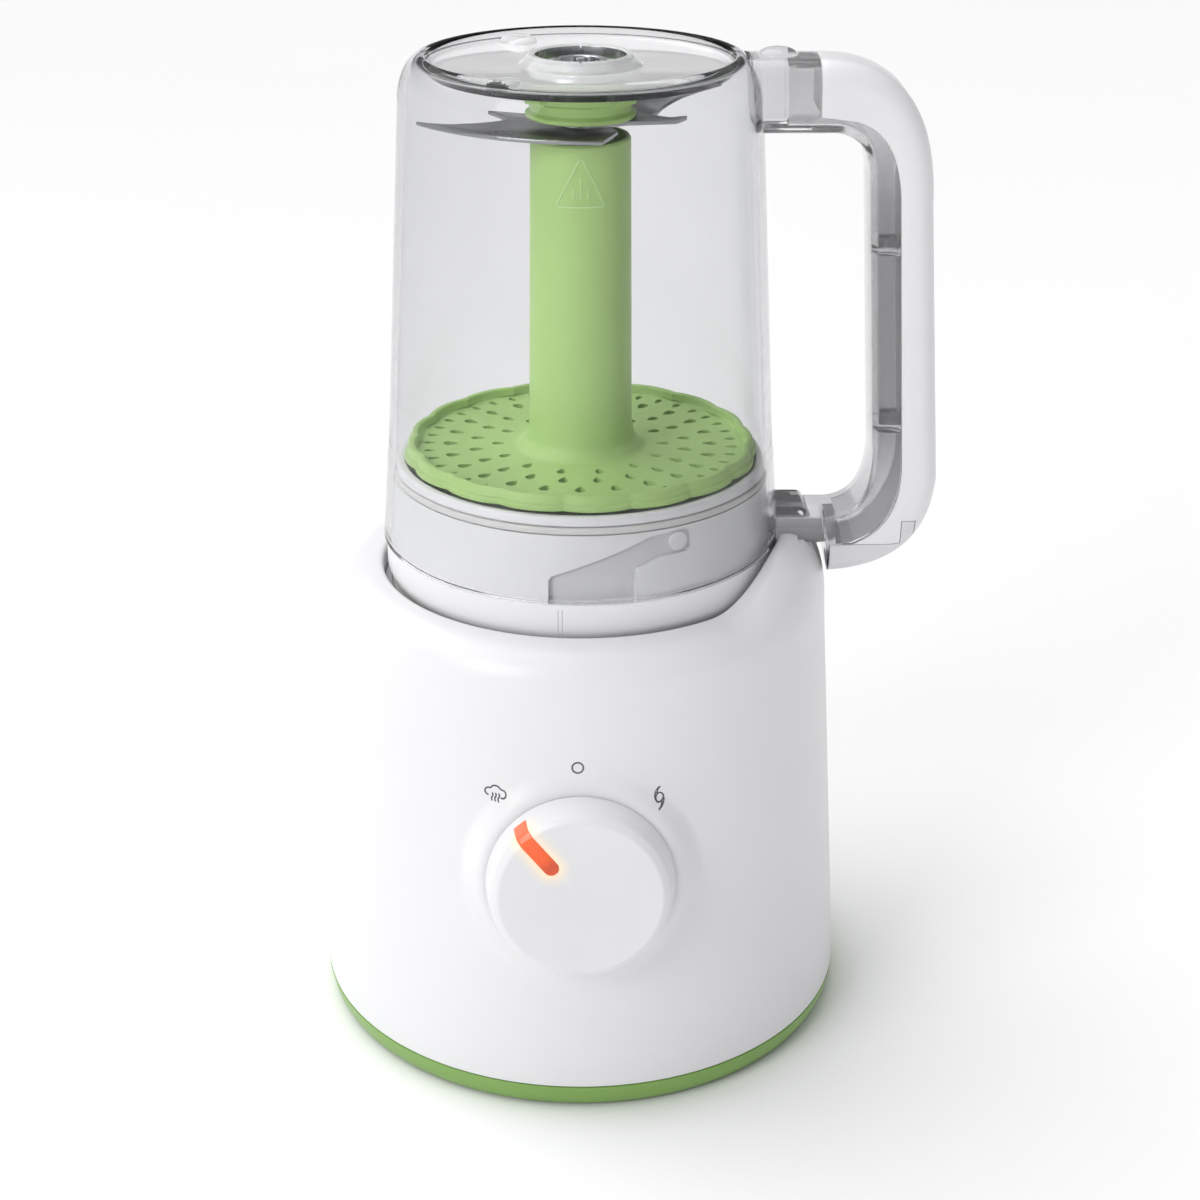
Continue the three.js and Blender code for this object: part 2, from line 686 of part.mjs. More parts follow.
function bladeCarrier() {
  const body = lathe([
    [8, 283],
    [15.9, 283],
    [15.9, 284.2],
    [14.6, 285],
    [14.6, 287.6],
    [17.4, 288.6],
    [17.4, 292],
    [16.6, 294.7],
    [9, 294.7],
    [9, 287],
    [8, 286],
    [8, 283],
  ], MEDIUM);
  const lug = () => block(4, 6, 288, 291).translate(17, 0, 0);
  return join(body, ...around(4, lug, Math.PI / 4));
}

// One wing of the S-shaped blade, pointing left (-X): a sickle from the hub to a long tip, with a short
// barb behind it.
function bladeWing(scale) {
  const shape = new THREE.Shape();
  shape.moveTo(10.5 * scale, -8 * scale);
  shape.lineTo(6 * scale, -20 * scale);
  shape.quadraticCurveTo(-25 * scale, -21 * scale, -48 * scale, 6.5 * scale);
  shape.quadraticCurveTo(-33 * scale, -3 * scale, -20.5 * scale, 8 * scale);
  shape.lineTo(-27.4 * scale, 19 * scale);
  shape.quadraticCurveTo(-19 * scale, 16 * scale, -10 * scale, 13 * scale);
  shape.lineTo(4 * scale, 12 * scale);
  const extrusion = { depth: BLADE_THICKNESS, bevelEnabled: false, curveSegments: 6 };
  return cut(new THREE.ExtrudeGeometry(shape, extrusion), disc(SHAFT_RADIUS + GAP, -5, 10));
}

// Bends the part of a wing beyond a line at x = -reach upwards by an angle.
function bendUp(wing, reach, angle) {
  const beyond = block(100, 100, -5, 5).translate(-reach - 50, 0, 0);
  const tip = common(wing, beyond).translate(reach, 0, 0).rotateY(angle).translate(-reach, 0, 0);
  return join(cut(wing, beyond), tip);
}

function bladeUnit() {
  const shaft = lathe([[0, 266], [4, 266], [4, 289.4], [0, 289.4]], SMALL);
  const couplingHub = lathe([[0, 289.7], [7.6, 289.7], [7.6, 299], [5.6, 299], [5.6, 292], [0, 292]], SMALL);
  const key = () => block(2.6, 2.4, 292.5, 298.4).translate(5.4, 0, 0);
  const hub = lathe([
    [4.3, 268.4],
    [9, 268.4],
    [9.6, 276],
    [9.6, BLADE_Z - GAP],
    [4.3, BLADE_Z - GAP],
    [4.3, 268.4],
  ], SMALL);
  const lower = bladeWing(1).translate(0, 0, BLADE_Z);
  const upper = bendUp(bladeWing(0.92), 21.5, 0.33).rotateZ(Math.PI * 1.15).translate(0, 0, BLADE_Z + 2.4);
  return groupOf(
    piece('blade_carrier', bladeCarrier(), 'lightGreen'),
    piece('blade_bush', ring(4.3, 7.7, 283, 286.5, SMALL), 'brass'),
    piece('blade_shaft_seal', ring(4.3, 8.7, 286.9, 289.2, SMALL), 'silicone'),
    piece('blade_shaft', shaft, 'steel'),
    piece('blade_coupling', join(couplingHub, ...around(4, key)), 'steel'),
    piece('blade_hub', hub, 'lightGreen'),
    piece('lower_blade', lower, 'steel'),
    piece('upper_blade', upper, 'steel'),
    piece('blade_spacer', ring(SHAFT_RADIUS + GAP, 7, BLADE_Z + 1.5, BLADE_Z + 2.1, SMALL), 'steel'),
    piece('blade_nut', cut(disc(7, 266.4, 268.1, 6), disc(SHAFT_RADIUS + GAP, 260, 270)), 'steel'),
  );
}

// ---- Assembly ----------------------------------------------------------------------------------------

const foodMaker = groupOf(
  baseShells(),
  motorUnit(),
  boilerUnit(),
  controls(),
  electrics(),
  lidUnit(),
  piece('steaming_basket', basket(), 'lightGreen'),
  jarUnit(),
  bladeUnit(),
);

const box = new THREE.Box3().setFromObject(foodMaker, true);
const centre = box.getCenter(new THREE.Vector3());
foodMaker.position.set(-centre.x, -centre.y, -box.min.z);

export default foodMaker;
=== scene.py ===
import json
import math

import bmesh
import bpy
from mathutils import Matrix, Vector


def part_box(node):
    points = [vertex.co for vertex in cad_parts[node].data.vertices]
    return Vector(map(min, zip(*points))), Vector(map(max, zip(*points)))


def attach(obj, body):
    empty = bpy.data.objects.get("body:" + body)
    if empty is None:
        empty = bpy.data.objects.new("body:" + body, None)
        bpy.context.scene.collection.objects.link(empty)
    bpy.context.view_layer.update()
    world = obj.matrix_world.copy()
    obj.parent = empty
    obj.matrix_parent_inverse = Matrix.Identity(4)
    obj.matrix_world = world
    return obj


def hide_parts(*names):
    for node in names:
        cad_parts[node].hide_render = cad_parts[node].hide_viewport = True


# The looks of the baby food maker: a steamer and blender with a clear jar on a round white base.
# Shapes are written in millimetres around the base's axis, and make() turns them into the shared frame.

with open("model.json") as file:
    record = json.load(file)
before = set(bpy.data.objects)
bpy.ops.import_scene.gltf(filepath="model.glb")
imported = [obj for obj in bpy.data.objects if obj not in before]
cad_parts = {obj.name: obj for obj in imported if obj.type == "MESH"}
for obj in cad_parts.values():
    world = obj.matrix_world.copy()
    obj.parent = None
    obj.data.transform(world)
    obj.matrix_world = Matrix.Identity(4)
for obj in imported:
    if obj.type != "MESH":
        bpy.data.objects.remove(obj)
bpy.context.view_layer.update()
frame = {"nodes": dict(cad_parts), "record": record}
scene = bpy.context.scene

MM = 0.001
SIDES = 192
ring_low, ring_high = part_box("base_ring")
AXIS = Vector(((ring_low.x + ring_high.x) / 2, (ring_low.y + ring_high.y) / 2, 0))

WALL_FOOT_RADIUS = 84
WALL_FOOT_Z = 8.3
WALL_DRAFT = 0.065
WALL = 2.8
KNOB_Z = 78
KNOB_REST = math.radians(40)
SADDLE_RISE = 11.5
JAR_MOUTH = 157.3


def wall_radius(z):
    return WALL_FOOT_RADIUS - (z - WALL_FOOT_Z) * WALL_DRAFT


def at(x, y, z):
    return Matrix.Translation((x, y, z))


def spun(turn):
    return Matrix.Rotation(turn, 4, "Z")


FRONT = (
    at(0, -wall_radius(KNOB_Z), KNOB_Z)
    @ Matrix.Rotation(math.pi / 2 - math.atan(WALL_DRAFT), 4, "X")
)
TURNED = FRONT @ spun(KNOB_REST)


# ---- Mesh helpers ------------------------------------------------------------------------------------

def smoothstep(value, low, high):
    t = min(1, max(0, (value - low) / (high - low)))
    return t * t * (3 - 2 * t)


def shade(piece, sharp=32):
    mesh = piece.data
    mesh.polygons.foreach_set("use_smooth", [True] * len(mesh.polygons))
    mesh.set_sharp_from_angle(angle=math.radians(sharp))
    return piece


def shared_point(x, y, z, place=Matrix.Identity(4)):
    """A point in millimetres around the base's axis, turned into the shared frame."""
    return (place @ Vector((x, y, z))) * MM + AXIS


def in_mm(point):
    """A point of the shared frame, in millimetres around the base's axis."""
    return (point - AXIS) / MM


def make(name, points, faces, place=Matrix.Identity(4)):
    """A piece from points in millimetres around the base's axis."""
    mesh = bpy.data.meshes.new(name)
    mesh.from_pydata([shared_point(*p, place) for p in points], [], faces)
    work = bmesh.new()
    work.from_mesh(mesh)
    bmesh.ops.recalc_face_normals(work, faces=work.faces)
    work.to_mesh(mesh)
    work.free()
    piece = bpy.data.objects.new(name, mesh)
    scene.collection.objects.link(piece)
    return shade(piece)


def arcs(corners, steps=6, closed=True):
    """Corners are (x, y) or (x, y, radius); a radius turns its corner into an arc."""
    path = []
    for i, corner in enumerate(corners):
        here = Vector(corner[:2])
        if len(corner) == 2 or (not closed and i in (0, len(corners) - 1)):
            path.append(tuple(here))
            continue
        before = Vector(corners[i - 1][:2]) - here
        after = Vector(corners[(i + 1) % len(corners)][:2]) - here
        half = before.angle(after) / 2
        reach = min(corner[2] / math.tan(half), 0.49 * before.length, 0.49 * after.length)
        centre = here + (before.normalized() + after.normalized()).normalized() * (reach / math.cos(half))
        first = here + before.normalized() * reach - centre
        last = here + after.normalized() * reach - centre
        sweep = math.pi - 2 * half
        for k in range(steps + 1):
            t = k / steps
            point = (first * math.sin((1 - t) * sweep) + last * math.sin(t * sweep)) / math.sin(sweep)
            path.append(tuple(centre + point))
    return path


def ellipse(centre, reach, start, end, steps):
    """Points of an elliptic arc, angles in degrees."""
    points = []
    for k in range(steps + 1):
        turn = math.radians(start + (end - start) * k / steps)
        points.append((centre[0] + reach[0] * math.cos(turn), centre[1] + reach[1] * math.sin(turn)))
    return points


def curve(start, control, end, steps=20):
    """Points of a quadratic curve, without its first."""
    points = []
    for k in range(1, steps + 1):
        t = k / steps
        points.append(tuple(
            (1 - t) ** 2 * a + 2 * t * (1 - t) * b + t * t * c for a, b, c in zip(start, control, end)
        ))
    return points


def levels(low, high, step):
    """Even steps from one value to another, both included."""
    count = max(1, round((high - low) / step))
    return [low + (high - low) * k / count for k in range(count + 1)]


def revolve(name, profile, sides=SIDES, warp=None, place=Matrix.Identity(4), turns=None):
    """Turns a profile of (radius, height) points about Z. It ends on the axis or closes on itself."""
    turns = turns or [2 * math.pi * i / sides for i in range(sides)]
    points, rings, faces = [], [], []
    for radius, height in profile:
        if radius < 1e-6:
            rings.append([len(points)])
            points.append((0, 0, height))
        else:
            rings.append(range(len(points), len(points) + len(turns)))
            points += [(radius * math.cos(t), radius * math.sin(t), height) for t in turns]
    for a, b in zip(rings, rings[1:] + rings[:1]):
        if len(a) == 1 and len(b) == 1:
            continue
        for i in range(len(turns)):
            j = (i + 1) % len(turns)
            if len(a) == 1:
                faces.append((a[0], b[j], b[i]))
            elif len(b) == 1:
                faces.append((a[i], a[j], b[0]))
            else:
                faces.append((a[i], a[j], b[j], b[i]))
    if warp:
        points = [warp(*p) for p in points]
    return make(name, points, faces, place)


def prism(name, outline, low, high, place=Matrix.Identity(4)):
    """A closed outline in X and Y, from one height to another."""
    count = len(outline)
    points = [(x, y, low) for x, y in outline] + [(x, y, high) for x, y in outline]
    faces = [tuple(range(count))[::-1], tuple(range(count, 2 * count))]
    faces += [(i, (i + 1) % count, (i + 1) % count + count, i + count) for i in range(count)]
    return make(name, points, faces, place)


SIDEWAYS = Matrix.Rotation(math.pi / 2, 4, "X")


def slab(name, outline, width):
    """A closed outline in X and Z, extruded along Y about Y = 0."""
    return prism(name, outline, -width / 2, width / 2, SIDEWAYS)


def box(name, low, high, place=Matrix.Identity(4)):
    outline = [(low[0], low[1]), (high[0], low[1]), (high[0], high[1]), (low[0], high[1])]
    return prism(name, outline, low[2], high[2], place)


def sweep(name, inner, outer, half_width, inner_round, outer_round):
    """A rounded bar between two paths in X and Z, point by point, and as wide as twice half_width in Y."""
    points, faces = [], []
    for near, far in zip(inner, outer):
        near, far = Vector(near), Vector(far)
        depth = (far - near).length
        along = (far - near) / depth
        section = arcs([
            (0, -half_width, inner_round),
            (depth, -half_width, outer_round),
            (depth, half_width, outer_round),
            (0, half_width, inner_round),
        ], 9)
        points += [(near.x + along.x * u, v, near.y + along.y * u) for u, v in section]
    count = len(section)
    for k in range(len(inner) - 1):
        for i in range(count):
            j = (i + 1) % count
            faces.append((k * count + i, k * count + j, (k + 1) * count + j, (k + 1) * count + i))
    faces.append(tuple(range(count)))
    faces.append(tuple(range((len(inner) - 1) * count, len(inner) * count)))
    return make(name, points, faces)


def applied(piece):
    """Applies a piece's modifiers."""
    graph = bpy.context.evaluated_depsgraph_get()
    mesh = bpy.data.meshes.new_from_object(piece.evaluated_get(graph))
    piece.modifiers.clear()
    piece.data = mesh
    return shade(piece)


def combine(piece, tool, operation):
    """Puts a piece and a tool together by a boolean, and removes the tool."""
    modifier = piece.modifiers.new("combine", "BOOLEAN")
    modifier.operation = operation
    modifier.object = tool
    modifier.solver = "MANIFOLD"
    applied(piece)
    bpy.data.objects.remove(tool)
    return piece


def cut(piece, *tools):
    for tool in tools:
        combine(piece, tool, "DIFFERENCE")
    return piece


def join(piece, *others):
    for other in others:
        combine(piece, other, "UNION")
    return piece


def copy_of(piece):
    twin = bpy.data.objects.new(piece.name + "_copy", piece.data.copy())
    scene.collection.objects.link(twin)
    return twin


def soften(piece, width, angle=40, segments=2):
    """Rounds the sharp edges of a piece."""
    modifier = piece.modifiers.new("soften", "BEVEL")
    modifier.width = width * MM
    modifier.segments = segments
    modifier.limit_method = "ANGLE"
    modifier.angle_limit = math.radians(angle)
    modifier.use_clamp_overlap = True
    return applied(piece)


def ribbons(name, strokes, radius_at, width, low, high):
    """Thin raised lines on a surface of revolution. A stroke is a list of (distance round, height)."""
    points, faces = [], []
    for stroke in strokes:
        closed = stroke[0] == stroke[-1]
        line = [Vector(p) for p in (stroke[:-1] if closed else stroke)]
        start = len(points)
        for i, here in enumerate(line):
            before = line[i - 1] if closed or i else here
            after = line[(i + 1) % len(line)] if closed or i < len(line) - 1 else here
            along = (after - before).normalized()
            aside = Vector((-along.y, along.x)) * (width / 2)
            for side, rise in ((1, low), (1, high), (-1, high), (-1, low)):
                s, z = here + aside * side
                radius = radius_at(z)
                turn = s / radius - math.pi / 2
                points.append(((radius + rise) * math.cos(turn), (radius + rise) * math.sin(turn), z))
        last = len(line) if closed else len(line) - 1
        for i in range(last):
            a, b = start + 4 * i, start + 4 * ((i + 1) % len(line))
            faces += [(a + k, a + (k + 1) % 4, b + (k + 1) % 4, b + k) for k in range(4)]
        if not closed:
            end = start + 4 * (len(line) - 1)
            faces += [tuple(range(start, start + 4)), tuple(range(end, end + 4))]
    return make(name, points, faces)


# ---- Materials ---------------------------------------------------------------------------------------

BUMP_DEPTH = 0.05


class Finish:
    """A node material: colour, roughness and bump each come from noise in the piece's own coordinates."""

    def __init__(self, name):
        self.material = bpy.data.materials.new(name)
        self.material.use_nodes = True
        self.tree = self.material.node_tree
        self.shader = self.tree.nodes["Principled BSDF"]
        self.output = self.tree.nodes["Material Output"]
        self.place = self.node("ShaderNodeTexCoord").outputs["Object"]

    def node(self, kind, **settings):
        made = self.tree.nodes.new(kind)
        for key, value in settings.items():
            setattr(made, key, value)
        return made

    def link(self, source, target):
        self.tree.links.new(source, target)

    def feed(self, source, name):
        """Links a socket to the shader's input of that name."""
        self.link(source, self.shader.inputs[name])

    def set(self, name, value):
        self.shader.inputs[name].default_value = value

    def noise(self, scale, detail, stretch=None):
        texture = self.node("ShaderNodeTexNoise")
        texture.inputs["Scale"].default_value = scale
        texture.inputs["Detail"].default_value = detail
        source = self.place
        if stretch:
            mapping = self.node("ShaderNodeMapping")
            mapping.inputs["Scale"].default_value = stretch
            self.link(source, mapping.inputs["Vector"])
            source = mapping.outputs["Vector"]
        self.link(source, texture.inputs["Vector"])
        return texture.outputs["Fac"]

    def spread(self, source, low, high, from_low=0.3, from_high=0.7):
        ranged = self.node("ShaderNodeMapRange")
        ranged.inputs["From Min"].default_value = from_low
        ranged.inputs["From Max"].default_value = from_high
        ranged.inputs["To Min"].default_value = low
        ranged.inputs["To Max"].default_value = high
        self.link(source, ranged.inputs["Value"])
        return ranged.outputs["Result"]

    def math(self, operation, first, second):
        result = self.node("ShaderNodeMath", operation=operation)
        for socket, value in zip(result.inputs, (first, second)):
            if isinstance(value, (int, float)):
                socket.default_value = value
            else:
                self.link(value, socket)
        return result.outputs[0]

    def blend(self, factor, first, second):
        """Mixes two colours, each a tuple or a socket."""
        mix = self.node("ShaderNodeMix", data_type="RGBA")
        self.link(factor, mix.inputs["Factor"])
        for socket, value in ((mix.inputs[6], first), (mix.inputs[7], second)):
            if isinstance(value, tuple):
                socket.default_value = (*value, 1)
            else:
                self.link(value, socket)
        return mix.outputs[2]

    def bump(self, height, strength):
        bump = self.node("ShaderNodeBump")
        bump.inputs["Strength"].default_value = strength
        bump.inputs["Distance"].default_value = BUMP_DEPTH * MM
        self.link(height, bump.inputs["Height"])
        self.feed(bump.outputs["Normal"], "Normal")

    def surface(self, color, roughness, grain, relief, variation=0.05, wear=0.06, stretch=None):
        """Colour with a slight drift, worn patches with another roughness, and a fine moulded grain."""
        drift = self.spread(self.noise(28, 2), 0, 1)
        dark = tuple(c * (1 - variation) for c in color)
        self.feed(self.blend(drift, dark, color), "Base Color")
        patches = self.spread(self.noise(60, 4), roughness - wear, roughness + wear)
        scuffs = self.spread(self.noise(700, 2, (1, 1, 0.06)), 0, wear, 0.62, 0.72)
        self.feed(self.math("ADD", patches, scuffs), "Roughness")
        self.bump(self.noise(grain, 2, stretch), relief)


def plastic(name, color, roughness=0.3, grain=1400, relief=0.05, coat=0.0, **more):
    finish = Finish(name)
    finish.surface(color, roughness, grain, relief, **more)
    finish.set("IOR", 1.48)
    finish.set("Coat Weight", coat)
    finish.set("Coat Roughness", 0.12)
    return finish.material


def metal(name, color, roughness, stretch=(1, 1, 0.05), relief=0.08):
    finish = Finish(name)
    finish.surface(color, roughness, 900, relief, variation=0.12, wear=0.08, stretch=stretch)
    finish.set("Metallic", 1)
    return finish.material


# Heights in metres where the painted shade on the handle's upright fades in, and where it fades out.
UPRIGHT_FOOT = (0.164, 0.19)
UPRIGHT_HEAD = (0.255, 0.278)
THICK_GREY = (0.5, 0.505, 0.52)


def clear(
    name, color, roughness, depth_tint, ior,
    weight=1.0, variation=0.02, lamp_share=0.85, coat=0.6, upright_shade=None,
):
    """Clear plastic that lets the lamps' light through, and is greyer the thicker it is.

    The handle's upright can be painted darker between two heights in metres, as painted shade.
    """
    finish = Finish(name)
    finish.surface(color, roughness, 500, 0.012, variation=variation, wear=roughness * 0.5)
    if upright_shade:
        axes = finish.node("ShaderNodeSeparateXYZ")
        finish.link(finish.place, axes.inputs["Vector"])
        above = finish.spread(axes.outputs["Z"], 0, 1, *UPRIGHT_FOOT)
        below = finish.spread(axes.outputs["Z"], 1, 0, *UPRIGHT_HEAD)
        base = finish.shader.inputs["Base Color"].links[0].from_socket
        finish.feed(finish.blend(finish.math("MULTIPLY", above, below), base, upright_shade), "Base Color")
    finish.set("Transmission Weight", weight)
    finish.set("IOR", ior)
    finish.set("Coat Weight", coat)
    finish.set("Coat Roughness", 0.03)
    finish.set("Coat IOR", 1.45)
    if depth_tint:
        depth = finish.node("ShaderNodeVolumeAbsorption")
        depth.inputs["Color"].default_value = (*THICK_GREY, 1)
        depth.inputs["Density"].default_value = depth_tint
        finish.link(depth.outputs["Volume"], finish.output.inputs["Volume"])
    paths = finish.node("ShaderNodeLightPath")
    through = finish.node("ShaderNodeBsdfTransparent")
    through.inputs["Color"].default_value = (*(lamp_share * c for c in color), 1)
    mix = finish.node("ShaderNodeMixShader")
    finish.link(paths.outputs["Is Shadow Ray"], mix.inputs["Fac"])
    finish.link(finish.shader.outputs["BSDF"], mix.inputs[1])
    finish.link(through.outputs["BSDF"], mix.inputs[2])
    finish.link(mix.outputs["Shader"], finish.output.inputs["Surface"])
    return finish.material


POINTER_INNER = shared_point(0, 13, 11, TURNED)
POINTER_OUTER = shared_point(0, 27, 9, TURNED)


def along_pointer(finish):
    """The share of the way along the pointer, and the distance from it, at the shaded point."""
    line = POINTER_OUTER - POINTER_INNER
    offset = finish.node("ShaderNodeVectorMath", operation="SUBTRACT")
    offset.inputs[1].default_value = POINTER_INNER
    finish.link(finish.place, offset.inputs[0])
    dot = finish.node("ShaderNodeVectorMath", operation="DOT_PRODUCT")
    dot.inputs[1].default_value = line / line.length_squared
    finish.link(offset.outputs["Vector"], dot.inputs[0])
    share = finish.node("ShaderNodeClamp")
    finish.link(dot.outputs["Value"], share.inputs["Value"])
    foot = finish.node("ShaderNodeVectorMath", operation="SCALE")
    foot.inputs[0].default_value = line
    finish.link(share.outputs["Result"], foot.inputs["Scale"])
    gap = finish.node("ShaderNodeVectorMath", operation="DISTANCE")
    finish.link(offset.outputs["Vector"], gap.inputs[0])
    finish.link(foot.outputs["Vector"], gap.inputs[1])
    return share.outputs["Result"], gap.outputs["Value"]


WHITE = (0.8, 0.8, 0.81)
# The painted glow round the pointer: where it fades, its tint, and the colour of its light.
GLOW_START = 0.0022
GLOW_END = 0.0072
GLOW_TINT = (0.95, 0.8, 0.58)
GLOW_LIGHT = (1.0, 0.62, 0.22)


def glowing_white():
    """White plastic with the pale light of the pointer painted on it, as a warm tint and a faint glow."""
    finish = Finish("knob_white")
    finish.surface(WHITE, 0.36, 1400, 0.04)
    base = finish.shader.inputs["Base Color"].links[0].from_socket
    _, distance = along_pointer(finish)
    glow = finish.spread(distance, 1, 0, GLOW_START, GLOW_END)
    soft = finish.math("POWER", glow, 2.2)
    finish.feed(finish.blend(soft, base, GLOW_TINT), "Base Color")
    finish.feed(finish.blend(soft, (0, 0, 0), GLOW_LIGHT), "Emission Color")
    finish.set("Emission Strength", 0.13)
    return finish.material


def set_stops(ramp, stops):
    """Fills a colour ramp from (position, colour) stops."""
    while len(ramp.elements) < len(stops):
        ramp.elements.new(0.5)
    for element, (position, color) in zip(ramp.elements, stops):
        element.position = position
        element.color = (*color, 1)


POINTER_STOPS = (
    (0.0, (0.55, 0.07, 0.02)),
    (0.2, (0.75, 0.1, 0.022)),
    (0.72, (0.8, 0.12, 0.03)),
    (1.0, (0.84, 0.18, 0.09)),
)


def pointer_orange():
    """The lit pointer, which gets paler towards its outer end."""
    finish = Finish("orange_window")
    share, _ = along_pointer(finish)
    streaks = finish.spread(finish.noise(240, 3), -0.14, 0.14)
    place_on = finish.math("ADD", share, streaks)
    ramp = finish.node("ShaderNodeValToRGB")
    set_stops(ramp.color_ramp, POINTER_STOPS)
    finish.link(place_on, ramp.inputs["Fac"])
    finish.feed(ramp.outputs["Color"], "Base Color")
    finish.feed(ramp.outputs["Color"], "Emission Color")
    finish.set("Emission Strength", 0.22)
    finish.feed(finish.spread(finish.noise(90, 3), 0.1, 0.2), "Roughness")
    finish.bump(finish.noise(500, 2), 0.06)
    return finish.material


MATERIALS = {
    "white_shell": plastic("white_shell", WHITE, 0.36, coat=0.1, variation=0.008, relief=0.03, wear=0.04),
    "grey_shell": plastic("grey_shell", (0.7, 0.7, 0.72), 0.34, variation=0.02),
    "green_trim": plastic("green_trim", (0.22, 0.4, 0.09), 0.36, coat=0.1),
    "light_green": plastic("light_green", (0.42, 0.62, 0.22), 0.42, relief=0.06),
    "clear_plastic": clear("clear_plastic", (0.96, 0.962, 0.965), 0.02, 62, 1.12, coat=0.2),
    "orange_window": pointer_orange(),
    "blade_steel": metal("blade_steel", (0.34, 0.345, 0.355), 0.34, stretch=(0.06, 1, 1)),
    "machined_steel": metal("machined_steel", (0.55, 0.56, 0.58), 0.28),
    "aluminium": metal("aluminium", (0.62, 0.63, 0.65), 0.42, stretch=(1, 1, 1), relief=0.2),
    "motor_iron": metal("motor_iron", (0.16, 0.165, 0.17), 0.55, stretch=(0.05, 0.05, 1), relief=0.5),
    "motor_winding": metal("motor_winding", (0.5, 0.2, 0.08), 0.38, stretch=(1, 1, 0.1), relief=0.5),
    "brass": metal("brass", (0.58, 0.42, 0.16), 0.34),
    "silicone": plastic("silicone", (0.72, 0.72, 0.7), 0.6, grain=2200, relief=0.12),
    "rubber": plastic("rubber", (0.09, 0.092, 0.095), 0.75, grain=1800, relief=0.35, variation=0.2),
    "dark_plastic": plastic(
        "dark_plastic", (0.045, 0.048, 0.055), 0.45, grain=1600, relief=0.2, variation=0.15,
    ),
    "board": plastic("board", (0.03, 0.16, 0.08), 0.4, grain=500, relief=0.15, variation=0.25),
}
CLEAR_END = clear("clear_end", (0.97, 0.97, 0.975), 0.06, 0, 1.12, weight=0.5, lamp_share=0.7)
# The frame's upright is painted darker than its arms: painted shade.
CLEAR_FRAME = clear(
    "clear_frame", (0.8, 0.8, 0.81), 0.09, 10, 1.18,
    variation=0.16, lamp_share=0.5, upright_shade=(0.5, 0.5, 0.51),
)
KNOB_WHITE = glowing_white()
PRINT_GREY = plastic("print_grey", (0.09, 0.09, 0.1), 0.5, variation=0.1)
FAINT_GREY = plastic("faint_grey", (0.55, 0.55, 0.57), 0.4)
# Painted shade: a grey laid on the floor of the groove in the lid's collar, for the shade in that recess.
GROOVE_SHADE = plastic("groove_painted_shade", (0.66, 0.66, 0.675), 0.45)
# Painted highlight: the raised emblem on the column is a lighter green, for the highlights along its thin
# raised lines.
EMBLEM_HIGHLIGHT_GREEN = plastic("emblem_painted_highlight", (0.55, 0.75, 0.36), 0.42)

record = frame["record"]
SLOT_OF = {part["node"]: part["material_slot"] for part in record["subparts"]}
BODY_OF = {node: body for body, nodes in record["behaviour"]["bodies"].items() for node in nodes}
for node, cad in frame["nodes"].items():
    cad.data.materials.clear()
    cad.data.materials.append(MATERIALS[SLOT_OF[node]])


def dress(piece, node, material=None, stands_for=True):
    """Gives a finished piece its material, and ties it to the CAD node it belongs to."""
    slot = SLOT_OF[node]
    piece.data.materials.clear()
    piece.data.materials.append(material or MATERIALS[slot])
    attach(piece, BODY_OF[node])
    if stands_for:
        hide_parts(node)
    return piece


# ---- Base --------------------------------------------------------------------------------------------

SHOULDER_Z = 136
PAD_RADIUS = 28.8
PAD_BLEND = 35.5
PAD_HEIGHT = 0.45
SADDLE_FOOT_Z = 131
SADDLE_BLEND = 17
SADDLE_FLAT = math.radians(18)
SADDLE_END = math.radians(52)
FRONT_FAN = 28
INTO_FRONT = FRONT.inverted()


def padded(x, y, z):
    """Blends the flat pad behind the knob into the wall."""
    local = INTO_FRONT @ Vector((x, y, z))
    flat = 1 - smoothstep(math.hypot(local.x, local.y), PAD_RADIUS, PAD_BLEND)
    local.z += (PAD_HEIGHT - local.z) * flat
    return tuple(FRONT @ local)


def saddle(x, y, z):
    """Raises the shoulder and the rim beside the handle, and adds the pad."""
    radius = math.hypot(x, y)
    if z > 139.5 or radius > 72:
        side = 1 - smoothstep(abs(math.atan2(y, x)), SADDLE_FLAT, SADDLE_END)
        z += SADDLE_RISE * side * min(1, max(0, (z - SADDLE_FOOT_Z) / SADDLE_BLEND)) ** 1.5
    if y < -50 and radius > wall_radius(z) - 0.05:
        return padded(x, y, z)
    return (x, y, z)


def base_turns():
    """Directions round the base: close together at the front and along the saddle."""
    fan_start, fan_end = -90 - FRONT_FAN, -90 + FRONT_FAN
    degrees = levels(-150, fan_start, 2) + levels(fan_start, fan_end, 0.6)[1:]
    degrees += levels(fan_end, -52, 1.5)[1:] + levels(-52, 52, 1)[1:] + levels(52, 210, 2)[1:-1]
    return [math.radians(d) for d in degrees]


def tilted_back(y, z):
    """A place on the back of the base, with Z turned outwards."""
    return at(0, y, z) @ Matrix.Rotation(-math.pi / 2, 4, "X")


def drill(name, radius, low, high, sides=32, place=Matrix.Identity(4)):
    """A round rod to cut a hole with."""
    return revolve(name, [(0, low), (radius, low), (radius, high), (0, high)], sides, place=place)


GLAND_Z = 24
SCREW_RADIUS = 73
LIGHT_ABOVE_KNOB = 18


